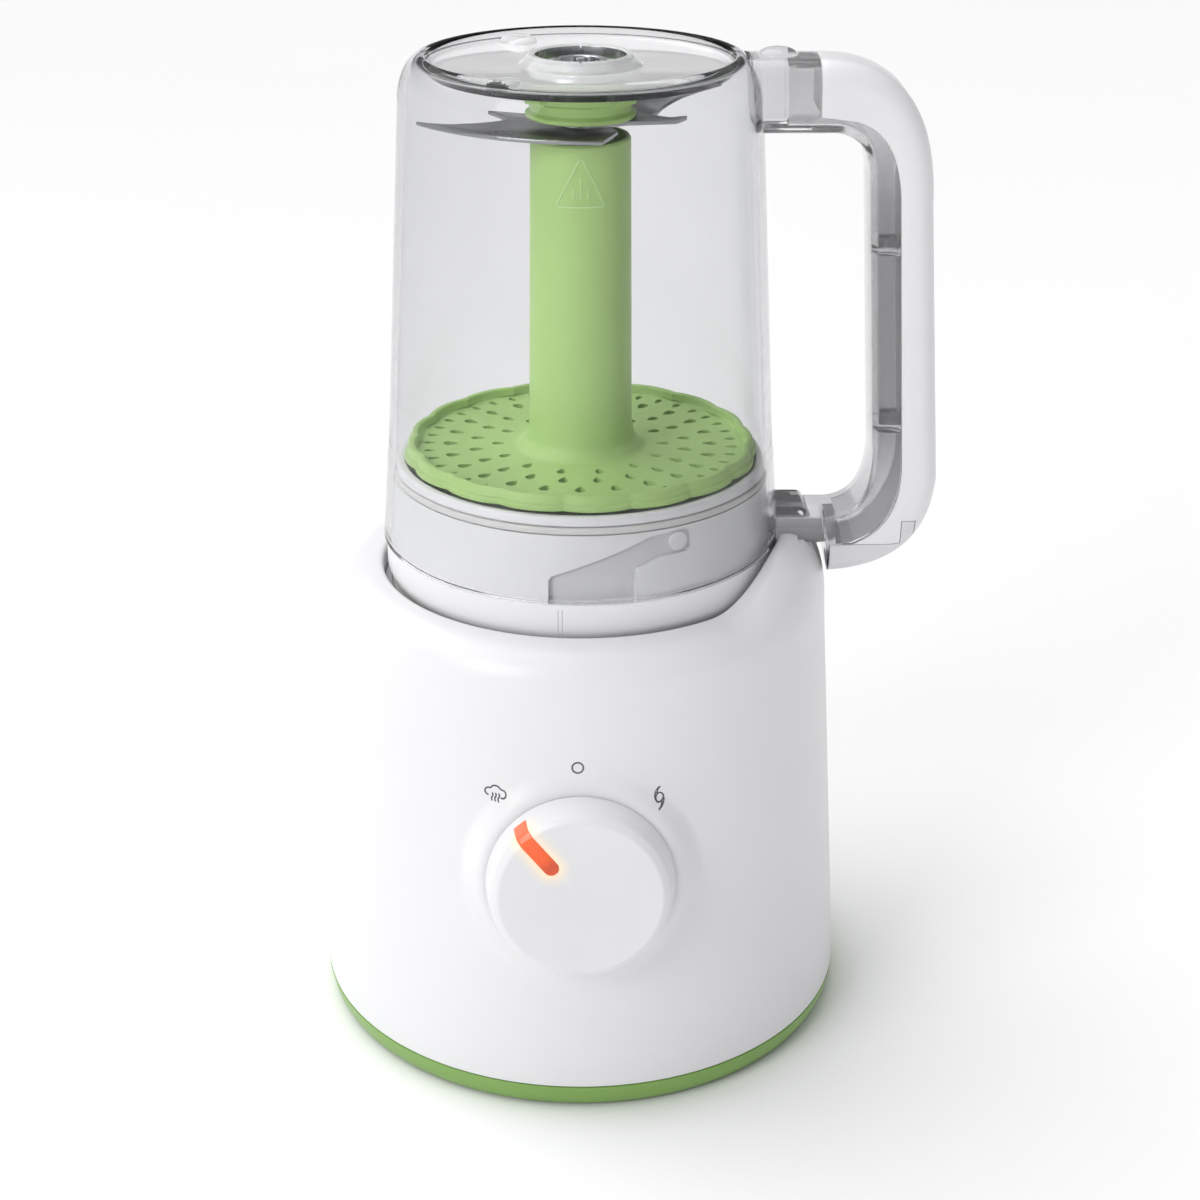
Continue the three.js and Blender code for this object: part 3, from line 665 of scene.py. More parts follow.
def base_housing():
    """The white shell with its seat, the handle's slot, the holes and the screw bosses."""
    wall = [(wall_radius(z), z) for z in [9.2, 20, 30] + levels(38, 118, 1.1) + [124, 130]]
    shoulder = ellipse((64, SHOULDER_Z), (wall_radius(SHOULDER_Z) - 64, 12), 0, 86, 26)
    profile = [
        (wall_radius(8) - WALL, 8.3),
        (83.4, 8.3),
        (83.8, 8.5),
        *wall,
        *shoulder,
        (63.4, 148),
        (62.4, 147.95),
        (61.6, 147.6),
        (61.1, 147),
        (60.9, 146.2),
        (60.9, 139),
        (59, 139),
        (59, 136),
        (wall_radius(136) - WALL - 2, 136),
        (wall_radius(130) - WALL, 130),
    ]
    shell = revolve("base_housing_look", profile, warp=saddle, turns=base_turns())
    slot_outline = arcs([(54, -12.7, 1), (81, -12.7, 1), (81, 12.7, 1), (54, 12.7, 1)])
    cut(
        shell,
        prism("slot", slot_outline, 154.8, 190),
        box("notch", (65.6, -30, 157.6), (69, 30, 190)),
        drill("shaft_hole", 3.5, -20, 5, place=FRONT),
        drill("light_hole", 2.7, -20, 5, place=TURNED @ at(0, LIGHT_ABOVE_KNOB, 0)),
        drill("gland_hole", 6.4, -20, 20, 48, tilted_back(80, GLAND_Z)),
    )
    for angle in (45, 135, 225, 315):
        turn = spun(math.radians(angle))
        place = turn @ at(SCREW_RADIUS, 0, 0)
        join(shell, drill("boss", 4.5, 9, 42, 24, place), box("rib", (75, -1.5, 9), (79, 1.5, 41), turn))
        cut(shell, drill("pilot", 2, 8, 28, 16, place))
    return shade(shell, 38)


dress(base_housing(), "base_housing")

dress(revolve("base_ring_look", arcs([
    (79, 1), (81.8, 1, 0.4), (83.1, 3.5, 2), (83.98, 7.98, 0.3), (79, 8),
])), "base_ring")


def quarter_turns(make_one):
    """Four copies round the axis, made by a function of the turn and the number."""
    for k in range(4):
        make_one(spun(k * math.pi / 2), k + 1)


def foot(turn, number):
    profile = arcs([(0, 0), (7, 0, 0.5), (6.8, 2.1, 0.3), (0, 2.1)])
    place = turn @ at(62, 0, 0)
    dress(revolve(f"rubber_foot_{number}_look", profile, 64, place=place), f"rubber_foot_{number}")


def screw(turn, number):
    profile = arcs([(0, 0.9), (3.2, 0.9, 0.4), (3.2, 2.1), (1.7, 2.1), (1.7, 25), (0, 26)])
    place = turn @ spun(math.pi / 4) @ at(SCREW_RADIUS, 0, 0)
    head = revolve(f"bottom_screw_{number}_look", profile, 40, place=place)
    for across, along in ((2, 0.4), (0.4, 2)):
        cut(head, box("cross", (-across, -along, 0), (across, along, 1.6), place))
    dress(head, f"bottom_screw_{number}")


quarter_turns(foot)
quarter_turns(screw)


def bottom_plate():
    plate = revolve("bottom_plate_look", arcs([(0, 2.4), (78.7, 2.4, 0.5), (78.7, 5, 0.2), (0, 5)]))
    vent = arcs([(36, -1.5, 1.4), (52, -1.5, 1.4), (52, 1.5, 1.4), (36, 1.5, 1.4)])
    for k in range(10):
        cut(plate, prism("vent", vent, 0, 10, spun(math.pi / 10 + k * math.pi / 5)))
    for k in range(4):
        place = spun(math.pi / 4 + k * math.pi / 2) @ at(SCREW_RADIUS, 0, 0)
        cut(plate, drill("hole", 2.2, 0, 10, 24, place))
    return plate


dress(bottom_plate(), "bottom_plate")

FILLER_Y = 35
NOZZLE_Y = -36
deck = revolve("seat_deck_look", arcs([
    (10, 139.3), (60.6, 139.3), (60.6, 141.8, 0.3), (58.6, 141.8), (58.6, 140.8),
    (54.4, 140.8), (54.4, 141.8, 0.2), (13, 141.8, 0.6), (12, 144.8, 0.4), (10, 144.8, 0.3),
]))
cut(
    deck,
    drill("filler", 12.4, 130, 150, 64, at(0, FILLER_Y, 0)),
    drill("nozzle", 5, 130, 150, 48, at(0, NOZZLE_Y, 0)),
)
dress(deck, "seat_deck")

# Small round pieces: each has its profile and the Y of its axis.
ROUND_PIECES = {
    "deck_seal": ([(54.7, 141.1), (58.3, 141.1), (58.3, 142, 0.3), (54.7, 142, 0.3)], 0),
    "shaft_seal": ([(4.3, 139.5), (9.6, 139.5), (9.6, 144.6, 0.4), (4.3, 144.6, 0.4)], 0),
    "steam_nozzle": ([(2.5, 127.3), (4.6, 127.3), (4.6, 155.6, 0.5), (2.5, 155.6, 0.4)], NOZZLE_Y),
    "steam_nozzle_seal": (
        [(4.9, 149), (8, 149, 0.5), (8, 152, 1), (7.2, 156.6, 0.6), (4.9, 156.6, 0.3)], NOZZLE_Y,
    ),
    "boiler_cap_seal": ([(11.5, 142.1), (14.6, 142.1, 0.4), (14.6, 143.4, 0.4), (11.5, 143.4)], FILLER_Y),
    "lid_seal": ([(54.9, 177), (56.1, 177, 0.5), (56.1, 179, 0.5), (54.9, 179)], 0),
    "blade_shaft": ([(0, 266), (4, 266, 0.5), (4, 289.4, 0.5), (0, 289.4)], 0),
    "blade_spacer": ([(4.3, 280.5), (7, 280.5, 0.15), (7, 281.1, 0.15), (4.3, 281.1)], 0),
    "blade_bush": ([(4.3, 283), (7.7, 283), (7.7, 286.5, 0.3), (4.3, 286.5)], 0),
    "blade_shaft_seal": ([(4.3, 286.9), (8.7, 286.9, 0.3), (8.7, 289.2, 0.3), (4.3, 289.2)], 0),
    "blade_hub": ([(4.3, 268.4), (9, 268.4, 0.8), (9.6, 276, 1), (9.6, 278.7, 0.4), (4.3, 278.7)], 0),
}
for node, (corners, y) in ROUND_PIECES.items():
    place = at(0, y, 0)
    dress(revolve(f"{node}_look", arcs(corners, 4), 96, place=place), node)

cap_place = at(0, FILLER_Y, 0)
cap = revolve("boiler_cap_look", arcs([
    (0, 131), (10.9, 131, 0.6), (11.1, 143.7), (14.6, 143.7, 0.5), (14.6, 146.3, 1), (0, 146.3),
]), 96, place=cap_place)
grip_outline = arcs([(-11, -2, 1.9), (11, -2, 1.9), (11, 2, 1.9), (-11, 2, 1.9)])
join(cap, soften(prism("grip", grip_outline, 144.8, 150.8, cap_place), 0.8, segments=3))
dress(cap, "boiler_cap")

dress(revolve("cord_gland_look", arcs([
    (3.2, -10), (6, -10), (6, 4), (8.4, 4.4, 0.4), (7.6, 7, 0.8), (3.2, 7, 0.5),
]), 72, place=tilted_back(wall_radius(GLAND_Z) - 3.4, GLAND_Z)), "cord_gland")


def splined(name, hub, tooth_low, tooth_high, count):
    """A round hub with straight teeth or keys round it."""
    body = revolve(name, arcs(hub, 4), 72)
    for k in range(count):
        join(body, box("tooth", tooth_low, tooth_high, spun(2 * math.pi * k / count)))
    return soften(body, 0.25, 50)


dress(splined("drive_coupling_look", [
    (4.3, 145.4), (6.5, 145.4), (6.5, 154, 0.5), (4.3, 154, 0.3),
], (5, -1.3, 146.4), (9, 1.3, 153.4), 6), "drive_coupling")

# ---- Controls ----------------------------------------------------------------------------------------

KNOB_OUTSIDE = [
    (0, 0.8), (27.7, 0.8, 0.3), (27.1, 4.6, 5), (25.9, 9.3, 2), (23.8, 10.9, 2), (12, 11.1, 8), (0, 11.15),
]
POINTER_HALF = 2.15
POINTER_GAP = 0.12
POINTER_RISE = 0.12


def pointer_tool(name, extra, bottom):
    """A bar from the knob's middle out past its edge, round at its inner end."""
    half = POINTER_HALF + extra
    outline = [(half, 40), (-half, 40), *ellipse((0, 13), (half, half), 180, 360, 20)]
    return prism(name, outline, bottom, bottom + 20, TURNED)


knob = revolve("knob_look", arcs(KNOB_OUTSIDE, 8), place=TURNED)
hollow = revolve("hollow", [(6, -1), (24.9, -1), (23.2, 8.3), (6, 8.6)], 96, place=TURNED)
bore = drill("bore", 3.3, -1, 7.4, 40, TURNED)
cut(knob, hollow, bore, pointer_tool("groove", POINTER_GAP, 4.5))
dress(soften(shade(knob, 40), 0.22, 50), "knob", KNOB_WHITE)

pointer = revolve("knob_pointer_look", arcs([
    (x, z + (POINTER_RISE if z > 1 else 0), *rest) for x, z, *rest in KNOB_OUTSIDE[:-1]
] + [(0, 11.3)], 8), place=TURNED)
combine(pointer, pointer_tool("bar", 0, 4.7), "INTERSECT")
dress(soften(pointer, 0.5, 50, 3), "knob_pointer")

# The printed signs: a cloud with steam, a ring, and a swirl, each placed by (distance round, height).
CLOUD = (-25, 104.3)
OFF_RING = (-0.8, 114.2)
SWIRL = (23, 103.4)
MARK_WIDTH = 0.46
cloud = (
    ellipse((CLOUD[0] - 1.9, CLOUD[1] + 0.2), (1.25, 1.15), 265, 105, 10)
    + ellipse((CLOUD[0] + 0.1, CLOUD[1] + 0.9), (1.5, 1.35), 160, 25, 12)
    + ellipse((CLOUD[0] + 2.1, CLOUD[1] - 0.1), (1.2, 1.2), 95, -110, 10)
)
steam = [
    [(CLOUD[0] + x + 0.22 * math.sin(k * 0.9), CLOUD[1] - 0.1 - k * 0.36) for k in range(8)]
    for x in (-0.9, 0.1, 1.1)
]
leaf = [
    [(-1.15, -0.4)] + curve((-1.15, -0.4), (-2, 1.9), (0.2, 3.2), 12),
    [(-0.75, 0.95)] + curve((-0.75, 0.95), (-0.8, 2.4), (0.2, 3.2), 8),
]
eye_line = ellipse(SWIRL, (1.15, 1.25), 0, 360, 24)
eye_line[-1] = eye_line[0]
swirl = [eye_line]
for stroke in leaf:
    swirl += [[(SWIRL[0] + turn * x, SWIRL[1] + turn * z) for x, z in stroke] for turn in (1, -1)]
off_ring = ellipse(OFF_RING, (1.6, 1.6), 0, 360, 32)
off_ring[-1] = off_ring[0]
marks = ribbons("dial_marks", [cloud, *steam, *swirl, off_ring], wall_radius, MARK_WIDTH, -0.2, 0.06)
for vertex in marks.data.vertices:
    vertex.co = shared_point(*padded(*in_mm(vertex.co)))
dress(marks, "base_housing", PRINT_GREY, stands_for=False)

# ---- Lid and basket ----------------------------------------------------------------------------------

lid = revolve("lid_look", arcs([
    (52, 142.3),
    (55.6, 142.3, 0.8),
    (59.5, 147.2, 5),
    (59.5, 157, 0.7),
    (57.4, 157, 0.4),
    (55.9, 176.7),
    (54.6, 176.7),
    (54.6, 179.3),
    (55.6, 179.3, 0.4),
    (55.3, 182, 0.8),
    (52.7, 182, 0.8),
    (53.6, 160, 2),
    (0, 160),
    (0, 157.2),
    (50, 157.2),
    (51.2, 156, 0.6),
]))
for side in (-1, 0, 1):
    cut(lid, drill("steam_hole", 1.1, 150, 165, 24, at(side * 2.6, NOZZLE_Y, 0)))

COLLAR_RADIUS = 56.6
GROOVE_RADIUS = 55.4
GROOVE_LOWER = [
    (-9.1, 157.05), (15.8, 157.05), (15.9, 165.1), (16.5, 165.9), (23.6, 168.6), (31.8, 168.9), (33.2, 170),
]
GROOVE_UPPER = [(-9.1, 163.2), (-8.3, 164.6), (14, 172.8), (20, 175.2), (31.5, 175.9), (33.2, 174.8)]
PEG_TURN = math.radians(-60.4)
PEG_Z = 172.4
PEG_START = 54.2


def ring_radius(z):
    """The lid's outer ring, which narrows towards its foot."""
    return 59.5 - 0.12 * max(0, 149 - z)


def height_on(line, s):
    """The height of a line of (distance round, height) points at a distance."""
    for (start, low), (end, high) in zip(line, line[1:]):
        if s <= end:
            return low + (high - low) * max(0, s - start) / (end - start)
    return line[-1][1]


def groove_tool(lower, upper):
    """The room between two lines round the collar, from the groove's floor outwards."""
    points, faces = [], []
    steps = sorted(set(levels(lower[0][0], lower[-1][0], 1) + [s for s, _ in lower + upper]))
    for s in steps:
        turn = s / COLLAR_RADIUS - math.pi / 2
        low, high = height_on(lower, s), height_on(upper, s)
        for radius, z in ((GROOVE_RADIUS, low), (59, low), (59, high), (GROOVE_RADIUS, high)):
            points.append((radius * math.cos(turn), radius * math.sin(turn), z))
    for start in range(0, len(points) - 4, 4):
        corners = [(start + i, start + (i + 1) % 4) for i in range(4)]
        faces += [(a, b, b + 4, a + 4) for a, b in corners]
    faces += [(0, 1, 2, 3), tuple(range(len(points) - 4, len(points)))]
    return make("groove", points, faces)


def dense(outline, step=1.0):
    """The same closed outline with more points on its long sides."""
    path = []
    for start, end in zip(outline, outline[1:] + outline[:1]):
        start, end = Vector(start), Vector(end)
        count = max(1, round((end - start).length / step))
        path += [tuple(start.lerp(end, k / count)) for k in range(count)]
    return path


cut(lid, groove_tool(GROOVE_LOWER, GROOVE_UPPER))
peg = revolve("peg", arcs([(0, 0), (2.9, 0), (2.9, 2.1, 0.3), (0, 2.1)]), 48, place=(
    at(PEG_START * math.cos(PEG_TURN), PEG_START * math.sin(PEG_TURN), PEG_Z)
    @ spun(PEG_TURN) @ Matrix.Rotation(math.pi / 2, 4, "Y")
))
dress(shade(join(lid, peg)), "lid")
# The groove's floor gets the grey of the painted shade.
lid.data.materials.append(GROOVE_SHADE)
for face in lid.data.polygons:
    middle = in_mm(face.center)
    if 157.1 < middle.z < 175.8 and abs(math.hypot(middle.x, middle.y) - GROOVE_RADIUS) < 0.08:
        face.material_index = 1

ring_marks = [[(s, 147.6 + k * 0.6) for k in range(14)] for s in (-6.4, -5.2)]
dress(ribbons("lid_marks", ring_marks, ring_radius, 0.3, -0.2, 0.02), "lid", FAINT_GREY, stands_for=False)


def basket_warp(x, y, z):
    """Seventeen shallow lobes round the rim."""
    radius = math.hypot(x, y)
    if radius < 49.4:
        return (x, y, z)
    lobe = abs(math.cos(8.5 * math.atan2(y, x)))
    scale = (radius - 1.3 * (1 - lobe ** 0.7)) / radius
    return (x * scale, y * scale, z)


basket = revolve("steaming_basket_look", arcs([
    (13.6, 182.5),
    (53.2, 182.5, 0.4),
    (53.2, 184.4, 0.5),
    (52.4, 184.6, 0.5),
    (51.8, 187.1, 0.7),
    (50, 187.1, 0.7),
    (49.6, 184.6, 1),
    (34, 184.2, 6),
    (19, 184.4, 3),
    (16.4, 187.4, 4),
    (15.4, 192),
    (14.5, 276.8, 0.6),
    (14.1, 277.6, 0.4),
    (13, 277.6, 0.4),
], 5), 272, warp=basket_warp)


def drop_outline(length, width):
    """A teardrop along X, its narrow end towards the middle."""
    points = []
    for k in range(14):
        turn = 2 * math.pi * k / 14
        wide = width / 2 * math.sin(turn) * (1 + 0.45 * math.cos(turn))
        points.append((length / 2 * math.cos(turn), wide))
    return points


def hole_tools(rows):
    """One mesh of all the holes, so that they are cut at once."""
    points, faces = [], []
    for radius, count, length, width, shift in rows:
        for k in range(count):
            turn = spun(2 * math.pi * (k + shift) / count) @ at(radius, 0, 0)
            outline = drop_outline(length, width)
            start, sides = len(points), len(outline)
            for height in (180, 190):
                points += [tuple(turn @ Vector((x, y, height))) for x, y in outline]
            faces.append(tuple(range(start, start + sides))[::-1])
            faces.append(tuple(range(start + sides, start + 2 * sides)))
            faces += [
                (start + i, start + (i + 1) % sides, start + (i + 1) % sides + sides, start + i + sides)
                for i in range(sides)
            ]
    return make("holes", points, faces)


# Rows of holes: radius, count, length, width, and shift as a share of the spacing.
HOLE_ROWS = (
    (45.6, 41, 3.6, 2.0, 0.5),
    (39.2, 24, 4.6, 3.0, 0),
    (31.6, 20, 4.4, 2.6, 0.5),
    (24.8, 14, 4.0, 2.4, 0),
)
cut(basket, hole_tools(HOLE_ROWS))
dress(shade(basket, 36), "steaming_basket")


def column_radius(z):
    return 15.4 - (z - 192) * 0.9 / 82.2


EMBLEM_Z = 260.3
EMBLEM_HALF = 7.2
EMBLEM_TOP = EMBLEM_Z + 14.2
triangle = dense(arcs([
    (-EMBLEM_HALF, EMBLEM_Z, 0.6), (EMBLEM_HALF, EMBLEM_Z, 0.6), (0, EMBLEM_TOP, 0.6),
], 5))
triangle.append(triangle[0])
bars = [[(x, EMBLEM_Z + 2.4), (x, EMBLEM_Z + top)] for x, top in ((-2.1, 5.4), (0, 8.4), (2.1, 5.4))]
emblem = ribbons("column_mark", [triangle, *bars], column_radius, 0.42, -0.2, 0.26)
# The emblem's lighter green is a painted highlight.
dress(emblem, "steaming_basket", EMBLEM_HIGHLIGHT_GREEN, stands_for=False)

# ---- Jar and handle ----------------------------------------------------------------------------------


JAR_WALL = 2.5
JAR_END = 297.5
STUD_RADIUS = 5.6
STUD_RISE = 2.4


def skirt_radius(z):
    """The jar's outside below the step, where it goes round the lid."""
    return 60.4 - (z - JAR_MOUTH) * 0.078


def body_radius(z):
    """The jar's outside above the step."""
    return 57.9 - (z - 186.5) * 0.058


def jar_outside(extra=0):
    """The jar's outer profile, from the mouth to the rim."""
    crown = ellipse((44.5, 288), (body_radius(288) - 44.5, 12.7), 0, 90, 20)
    corners = [
        (skirt_radius(158) + extra, 157.9),
        (skirt_radius(182.6) + extra, 182.6),
        (skirt_radius(183.4) + extra, 183.4),
        (58.15 + extra, 184.6),
        (57.95 + extra, 186),
        (body_radius(200) + extra, 200),
    ]
    grown = [(r + extra, z) for r, z in crown]
    grown[-1] = (grown[-1][0], grown[-1][1] + extra)
    return corners + grown


def stud(x, y, z):
    """A low dome on a flat face, with a root to join it by."""
    dome = ellipse((0, 0), (STUD_RADIUS, STUD_RISE), 9, 81, 8)
    profile = [(0, -1), (STUD_RADIUS, -1), (STUD_RADIUS, 0), *dome, (0, STUD_RISE)]
    return revolve("dome", profile, 48, place=at(x, y, z))


LINER_RADIUS = 13
jar = revolve("jar_look", [
    (58.2, 157.35),
    (60.1, 157.35),
    (60.36, 157.55),
    *jar_outside(),
    (43.9, 300.5),
    (43.4, 299.9),
    (42.9, 298.1),
    (42.3, JAR_END),
    *arcs([
        (42.3, JAR_END), (17.6, JAR_END, 1.2), (15.4, 299.6, 1.5), (14.6, 300.7, 0.5), (13.3, 300.7, 0.3),
        (LINER_RADIUS, 300.2, 0.2), (LINER_RADIUS, 297.3), (9.6, 297, 0.2), (9.6, 295),
    ], 5, False)[1:],
    (41.2, 295),
    (42.2, 295.3),
    (43.2, 296.6),
    (44.2, 297.8),
    *ellipse((45.2, 288), (body_radius(288) - JAR_WALL - 45.2, 10.2), 90, 0, 16),
    (body_radius(270) - JAR_WALL, 270),
    (55.4, 186.5),
    (55.9, 183),
    (57.88, 157.8),
])
join(jar, stud(-18.5, 35, JAR_END), stud(-19.7, -32.6, JAR_END))
cut(jar, box("notch", (-0.3, -18, 299.7), (0.3, 18, 302)))
dress(shade(jar, 30), "jar")
jar.data.materials.append(CLEAR_END)
jar.data.materials.append(MATERIALS["machined_steel"])
for face in jar.data.polygons:
    middle = in_mm(face.center)
    reach = math.hypot(middle.x, middle.y)
    if abs(reach - LINER_RADIUS) < 0.1 and 297.4 < middle.z < 300.3:
        face.material_index = 2
    elif reach < 42.6 and middle.z > 297.4:
        face.material_index = 1

HANDLE_HALF = 12
FRAME_WALL = 2.4
RIB_HALF = 1.2
OUTER = (
    [(x, 300.2) for x in levels(46, 70, 4)]
    + curve((70, 300.2), (100.5, 299), (101.2, 258.7), 32)
    + [(101.2 + 6.3 * t, 258.7 - 82.7 * t) for t in levels(0, 1, 0.08)[1:]]
    + curve((107.5, 176), (106.5, 147), (75.6, 145), 32)
)
INNER = (
    [(46 + (71 - 46) * t, 279.8) for t in levels(0, 1, 1 / 6)]
    + curve((71, 279.8), (81.8, 279.8), (82.4, 266), 32)
    + [(82.4 + 5 * t, 266 - 82 * t) for t in levels(0, 1, 0.08)[1:]]
    + curve((87.4, 184), (88, 164), (74, 163.6), 32)
)
COVER_SEAM = [
    (66.7, 305), (67.2, 285), (76.6, 283.9),
    *curve((76.6, 283.9), (90.2, 281), (91, 258.7)),
    *curve((91, 258.7), (93.4, 220.2), (95.8, 181.7), 4),
    *curve((95.8, 181.7), (97, 161), (82.2, 155.6)),
    (75.6, 155.5), (75.6, 140), (115, 140), (115, 305),
]


def handle_bar(name):
    return sweep(name, INNER, OUTER, HANDLE_HALF, 4, 6.5)


def cover_region(name, offset):
    """The outer part of the handle, beyond the seam."""
    moved = [(x + (offset if x < 110 else 0), z - (offset if z < 156 else 0)) for x, z in COVER_SEAM]
    return slab(name, moved, 40)


def cap_region(name, gap):
    """The foot of the cover, which is a piece of its own."""
    return slab(name, [
        (70, 135), (115, 135), (115, 155.5 + gap), (101.2 + gap, 155.5 + gap), (101.2 + gap, 163 + gap),
        (97.2 - gap, 163 + gap), (97.2 - gap, 155.5 + gap), (70, 155.5 + gap),
    ], 40)


cover = combine(handle_bar("handle_cover_look"), cover_region("region", 0.25), "INTERSECT")
lower_cap = combine(copy_of(cover), cap_region("region", 0), "INTERSECT")
lower_cap.name = "handle_lower_cap_look"
cut(cover, cap_region("region", 0.25))
dress(soften(shade(cover, 36), 0.3, 50), "handle_cover")
dress(soften(shade(lower_cap, 36), 0.2, 50), "handle_lower_cap")

handle_frame = handle_bar("handle_frame")
cut(handle_frame, cover_region("region", 0))
arm_points = levels(54, 82, 4)
arm_top = [(x, 163.6) for x in arm_points]
arm_foot = [(x, 155.5) for x in arm_points]
arm = sweep("arm", arm_top, arm_foot, HANDLE_HALF, 3.6, 2.6)
join(handle_frame, cut(arm, cover_region("region", 0)))
stop = slab("stop", arcs([(54, 160), (68.8, 160), (68.8, 166.2, 2.6), (54, 166.2)], 8), 16)
join(handle_frame, soften(stop, 1.5, 50, 4))
bore = [(0, 130), (60.5, 130), (60.5, 157.1), *jar_outside(0.06), (44.5, 320), (0, 320)]
cut(handle_frame, revolve("jar_room", bore))
inside, beyond = [], []
for near, far in zip(INNER, OUTER):
    if near[0] > 58 and near[1] > 164:
        across = (Vector(far) - Vector(near)).normalized() * FRAME_WALL
        inside.append(tuple(Vector(near) + across))
        beyond.append(tuple(Vector(far) - across))
channel = sweep("channel", inside, beyond, 9.4, 2, 2)
for height in (192, 246):
    cut(channel, box("rib", (76, -HANDLE_HALF, height - RIB_HALF), (112, HANDLE_HALF, height + RIB_HALF)))
cut(handle_frame, channel)
join(handle_frame, stud(55.5, 0, 300.2))
dress(soften(shade(handle_frame, 36), 0.25, 50), "jar", CLEAR_FRAME, stands_for=False)

# ---- Blades ------------------------------------------------------------------------------------------

carrier = revolve("blade_carrier_look", arcs([
    (8, 283), (15.9, 283, 0.4), (15.9, 284.2, 0.4), (14.6, 285, 0.4), (14.6, 287.6, 0.5),
    (17.4, 288.6, 0.6), (17.4, 292, 1), (16.6, 294.7, 0.8), (9, 294.7, 0.4), (9, 287), (8, 286),
], 4), 144)
for k in range(4):
    turn = spun(math.pi / 4 + k * math.pi / 2)
    join(carrier, box("lug", (15, -3, 288.6), (19, 3, 291.4), turn))
dress(soften(shade(carrier), 0.3, 50), "blade_carrier")

dress(splined("blade_coupling_look", [
    (0, 289.7), (7.6, 289.7, 0.4), (7.6, 299, 0.5), (5.6, 299, 0.4), (5.6, 292), (0, 292),
], (4.1, -1.2, 292.5), (6.6, 1.2, 298.4), 4), "blade_coupling")

SHAFT_HOLE = 4.3
hexagon = [(7 * math.cos(k * math.pi / 3), 7 * math.sin(k * math.pi / 3)) for k in range(6)]
nut = prism("blade_nut_look", hexagon, 266.4, 268.1)
cut(nut, drill("thread", SHAFT_HOLE, 260, 270, 48))
dress(soften(nut, 0.3, 50), "blade_nut")


BEND_START = 20
BEND_LENGTH = 4


def wing(name, scale, place, bend=0.0):
    """One wing of the S-shaped blade, pointing left; beyond its bend it rises by an angle."""
    outline = [
        (10.5, -8), (6, -20),
        *curve((6, -20), (-25, -21), (-48, 6.5), 28),
        *curve((-48, 6.5), (-33, -3), (-20.5, 8), 20),
        (-27.4, 19),
        *curve((-27.4, 19), (-19, 16), (-10, 13), 8),
        (4, 12),
    ]
    blade = prism(name, [(x * scale, y * scale) for x, y in outline], 0, 1.2, place)
    cut(blade, drill("eye", SHAFT_HOLE, -5, 5, 48, place))
    if bend:
        inverse = place.inverted()
        work = bmesh.new()
        work.from_mesh(blade.data)
        for reach in levels(BEND_START, BEND_START + BEND_LENGTH, 1):
            origin = shared_point(-reach, 0, 0, place)
            normal = place.to_3x3() @ Vector((1, 0, 0))
            geometry = work.verts[:] + work.edges[:] + work.faces[:]
            bmesh.ops.bisect_plane(work, geom=geometry, plane_co=origin, plane_no=normal)
        for vertex in work.verts:
            local = inverse @ in_mm(vertex.co)
            beyond = max(0, -local.x - BEND_START)
            angle = bend * min(1, beyond / BEND_LENGTH)
            local.z += math.tan(angle) * max(0, beyond - BEND_LENGTH / 2)
            local.x += beyond * (1 - math.cos(angle))
            vertex.co = shared_point(*local, place)
        work.to_mesh(blade.data)
        work.free()
    return soften(shade(blade), 0.35)


dress(wing("lower_blade_look", 1, at(0, 0, 279)), "lower_blade")
upper = spun(math.pi * 1.15) @ at(0, 0, 281.4)
dress(wing("upper_blade_look", 0.92, upper, 0.33), "upper_blade")

# ---- Studio ------------------------------------------------------------------------------------------

FLOOR = 25
FLOOR_Z = -2e-4
FLOOR_DARK = (0.93, 0.93, 0.93)
FLOOR_LIGHT = (0.95, 0.95, 0.95)
floor_mesh = bpy.data.meshes.new("floor")
floor_corners = [(x * FLOOR, y * FLOOR, FLOOR_Z) for x, y in ((-1, -1), (1, -1), (1, 1), (-1, 1))]
floor_mesh.from_pydata(floor_corners, [], [(0, 1, 2, 3)])
floor = bpy.data.objects.new("floor", floor_mesh)
scene.collection.objects.link(floor)
floor_finish = Finish("floor_white")
floor_finish.feed(floor_finish.blend(floor_finish.noise(3, 2), FLOOR_DARK, FLOOR_LIGHT), "Base Color")
floor_finish.set("Roughness", 0.9)
floor_finish.set("Specular IOR Level", 0)
floor_mesh.materials.append(floor_finish.material)

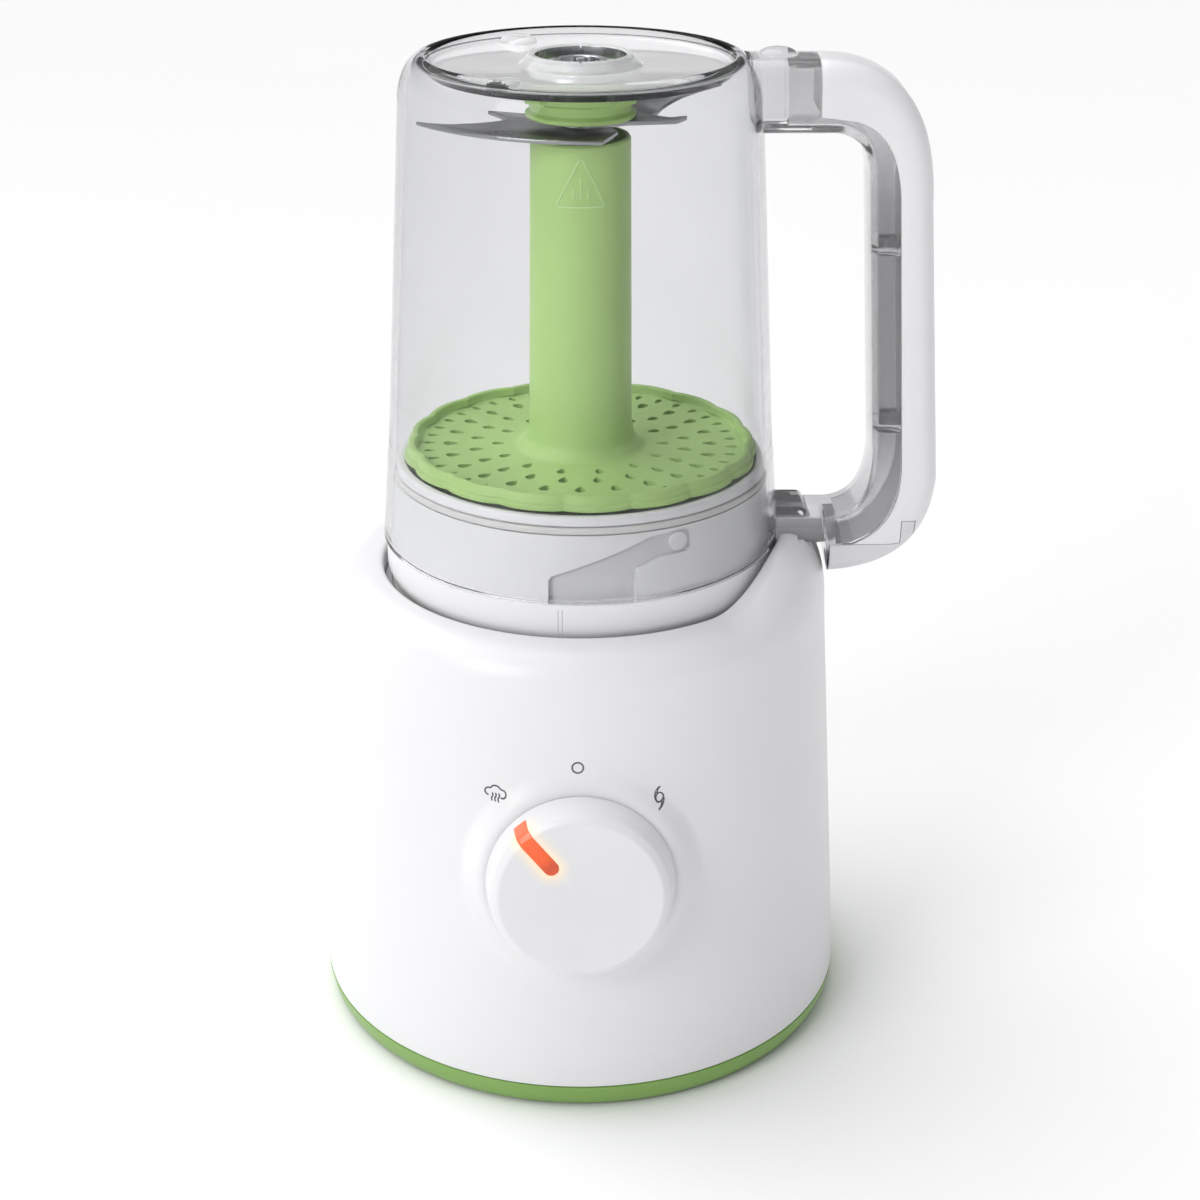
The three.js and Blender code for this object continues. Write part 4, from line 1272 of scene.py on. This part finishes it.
# Greys of the sky by height: bright at the horizon, dark just above it, and lighter again overhead.
SKY = ((0.0, 0.84), (0.07, 0.8), (0.16, 0.15), (0.75, 0.4))
SKY_STRENGTH = 1.25
SKY_BLUE = 1.02
world = bpy.data.worlds.new("studio")
scene.world = world
world.use_nodes = True
background = world.node_tree.nodes["Background"]
background.inputs["Strength"].default_value = SKY_STRENGTH
tree = world.node_tree
coordinates = tree.nodes.new("ShaderNodeTexCoord")
separate = tree.nodes.new("ShaderNodeSeparateXYZ")
tree.links.new(coordinates.outputs["Generated"], separate.inputs["Vector"])
height_ramp = tree.nodes.new("ShaderNodeValToRGB")
set_stops(height_ramp.color_ramp, [(position, (grey, grey, grey * SKY_BLUE)) for position, grey in SKY])
tree.links.new(separate.outputs["Z"], height_ramp.inputs["Fac"])
tree.links.new(height_ramp.outputs["Color"], background.inputs["Color"])


def light(data, power, direction):
    """Puts a lamp in the scene, shining in a direction."""
    data.energy = power
    made = bpy.data.objects.new(data.name, data)
    made.rotation_mode = "QUATERNION"
    made.rotation_quaternion = direction.to_track_quat("-Z", "Y")
    scene.collection.objects.link(made)
    return made


KEY_PLACE = Vector((-0.9, -1.0, 0.9))
KEY_TARGET = Vector((0, 0, 0.16))
KEY_POWER = 8.0
key_data = bpy.data.lights.new("key", "AREA")
key_data.shape = "RECTANGLE"
key_data.size = 0.7
key_data.size_y = 0.8
light(key_data, KEY_POWER, KEY_TARGET - KEY_PLACE).location = KEY_PLACE

SUN_POWER = 2.0
SUN_DIRECTION = Vector((0.38, -0.27, -0.88))
sun_data = bpy.data.lights.new("sun", "SUN")
sun_data.angle = math.radians(70)
light(sun_data, SUN_POWER, SUN_DIRECTION)

# The camera that was fitted to the photograph: in front of the base's axis, and tilted down at it.
CAMERA_BACK = 0.6226
CAMERA_HEIGHT = 0.4137
CAMERA_TILT = math.radians(65.63)
camera_data = bpy.data.cameras.new("camera")
camera_data.lens = 65.45
camera_data.sensor_width = 36
camera_data.shift_x = 0.0162
camera = bpy.data.objects.new("camera", camera_data)
camera.location = (AXIS.x, AXIS.y - CAMERA_BACK, CAMERA_HEIGHT)
camera.rotation_euler = (CAMERA_TILT, 0, 0)
scene.collection.objects.link(camera)
scene.camera = camera
scene.view_settings.view_transform = "Standard"

bpy.context.view_layer.update()
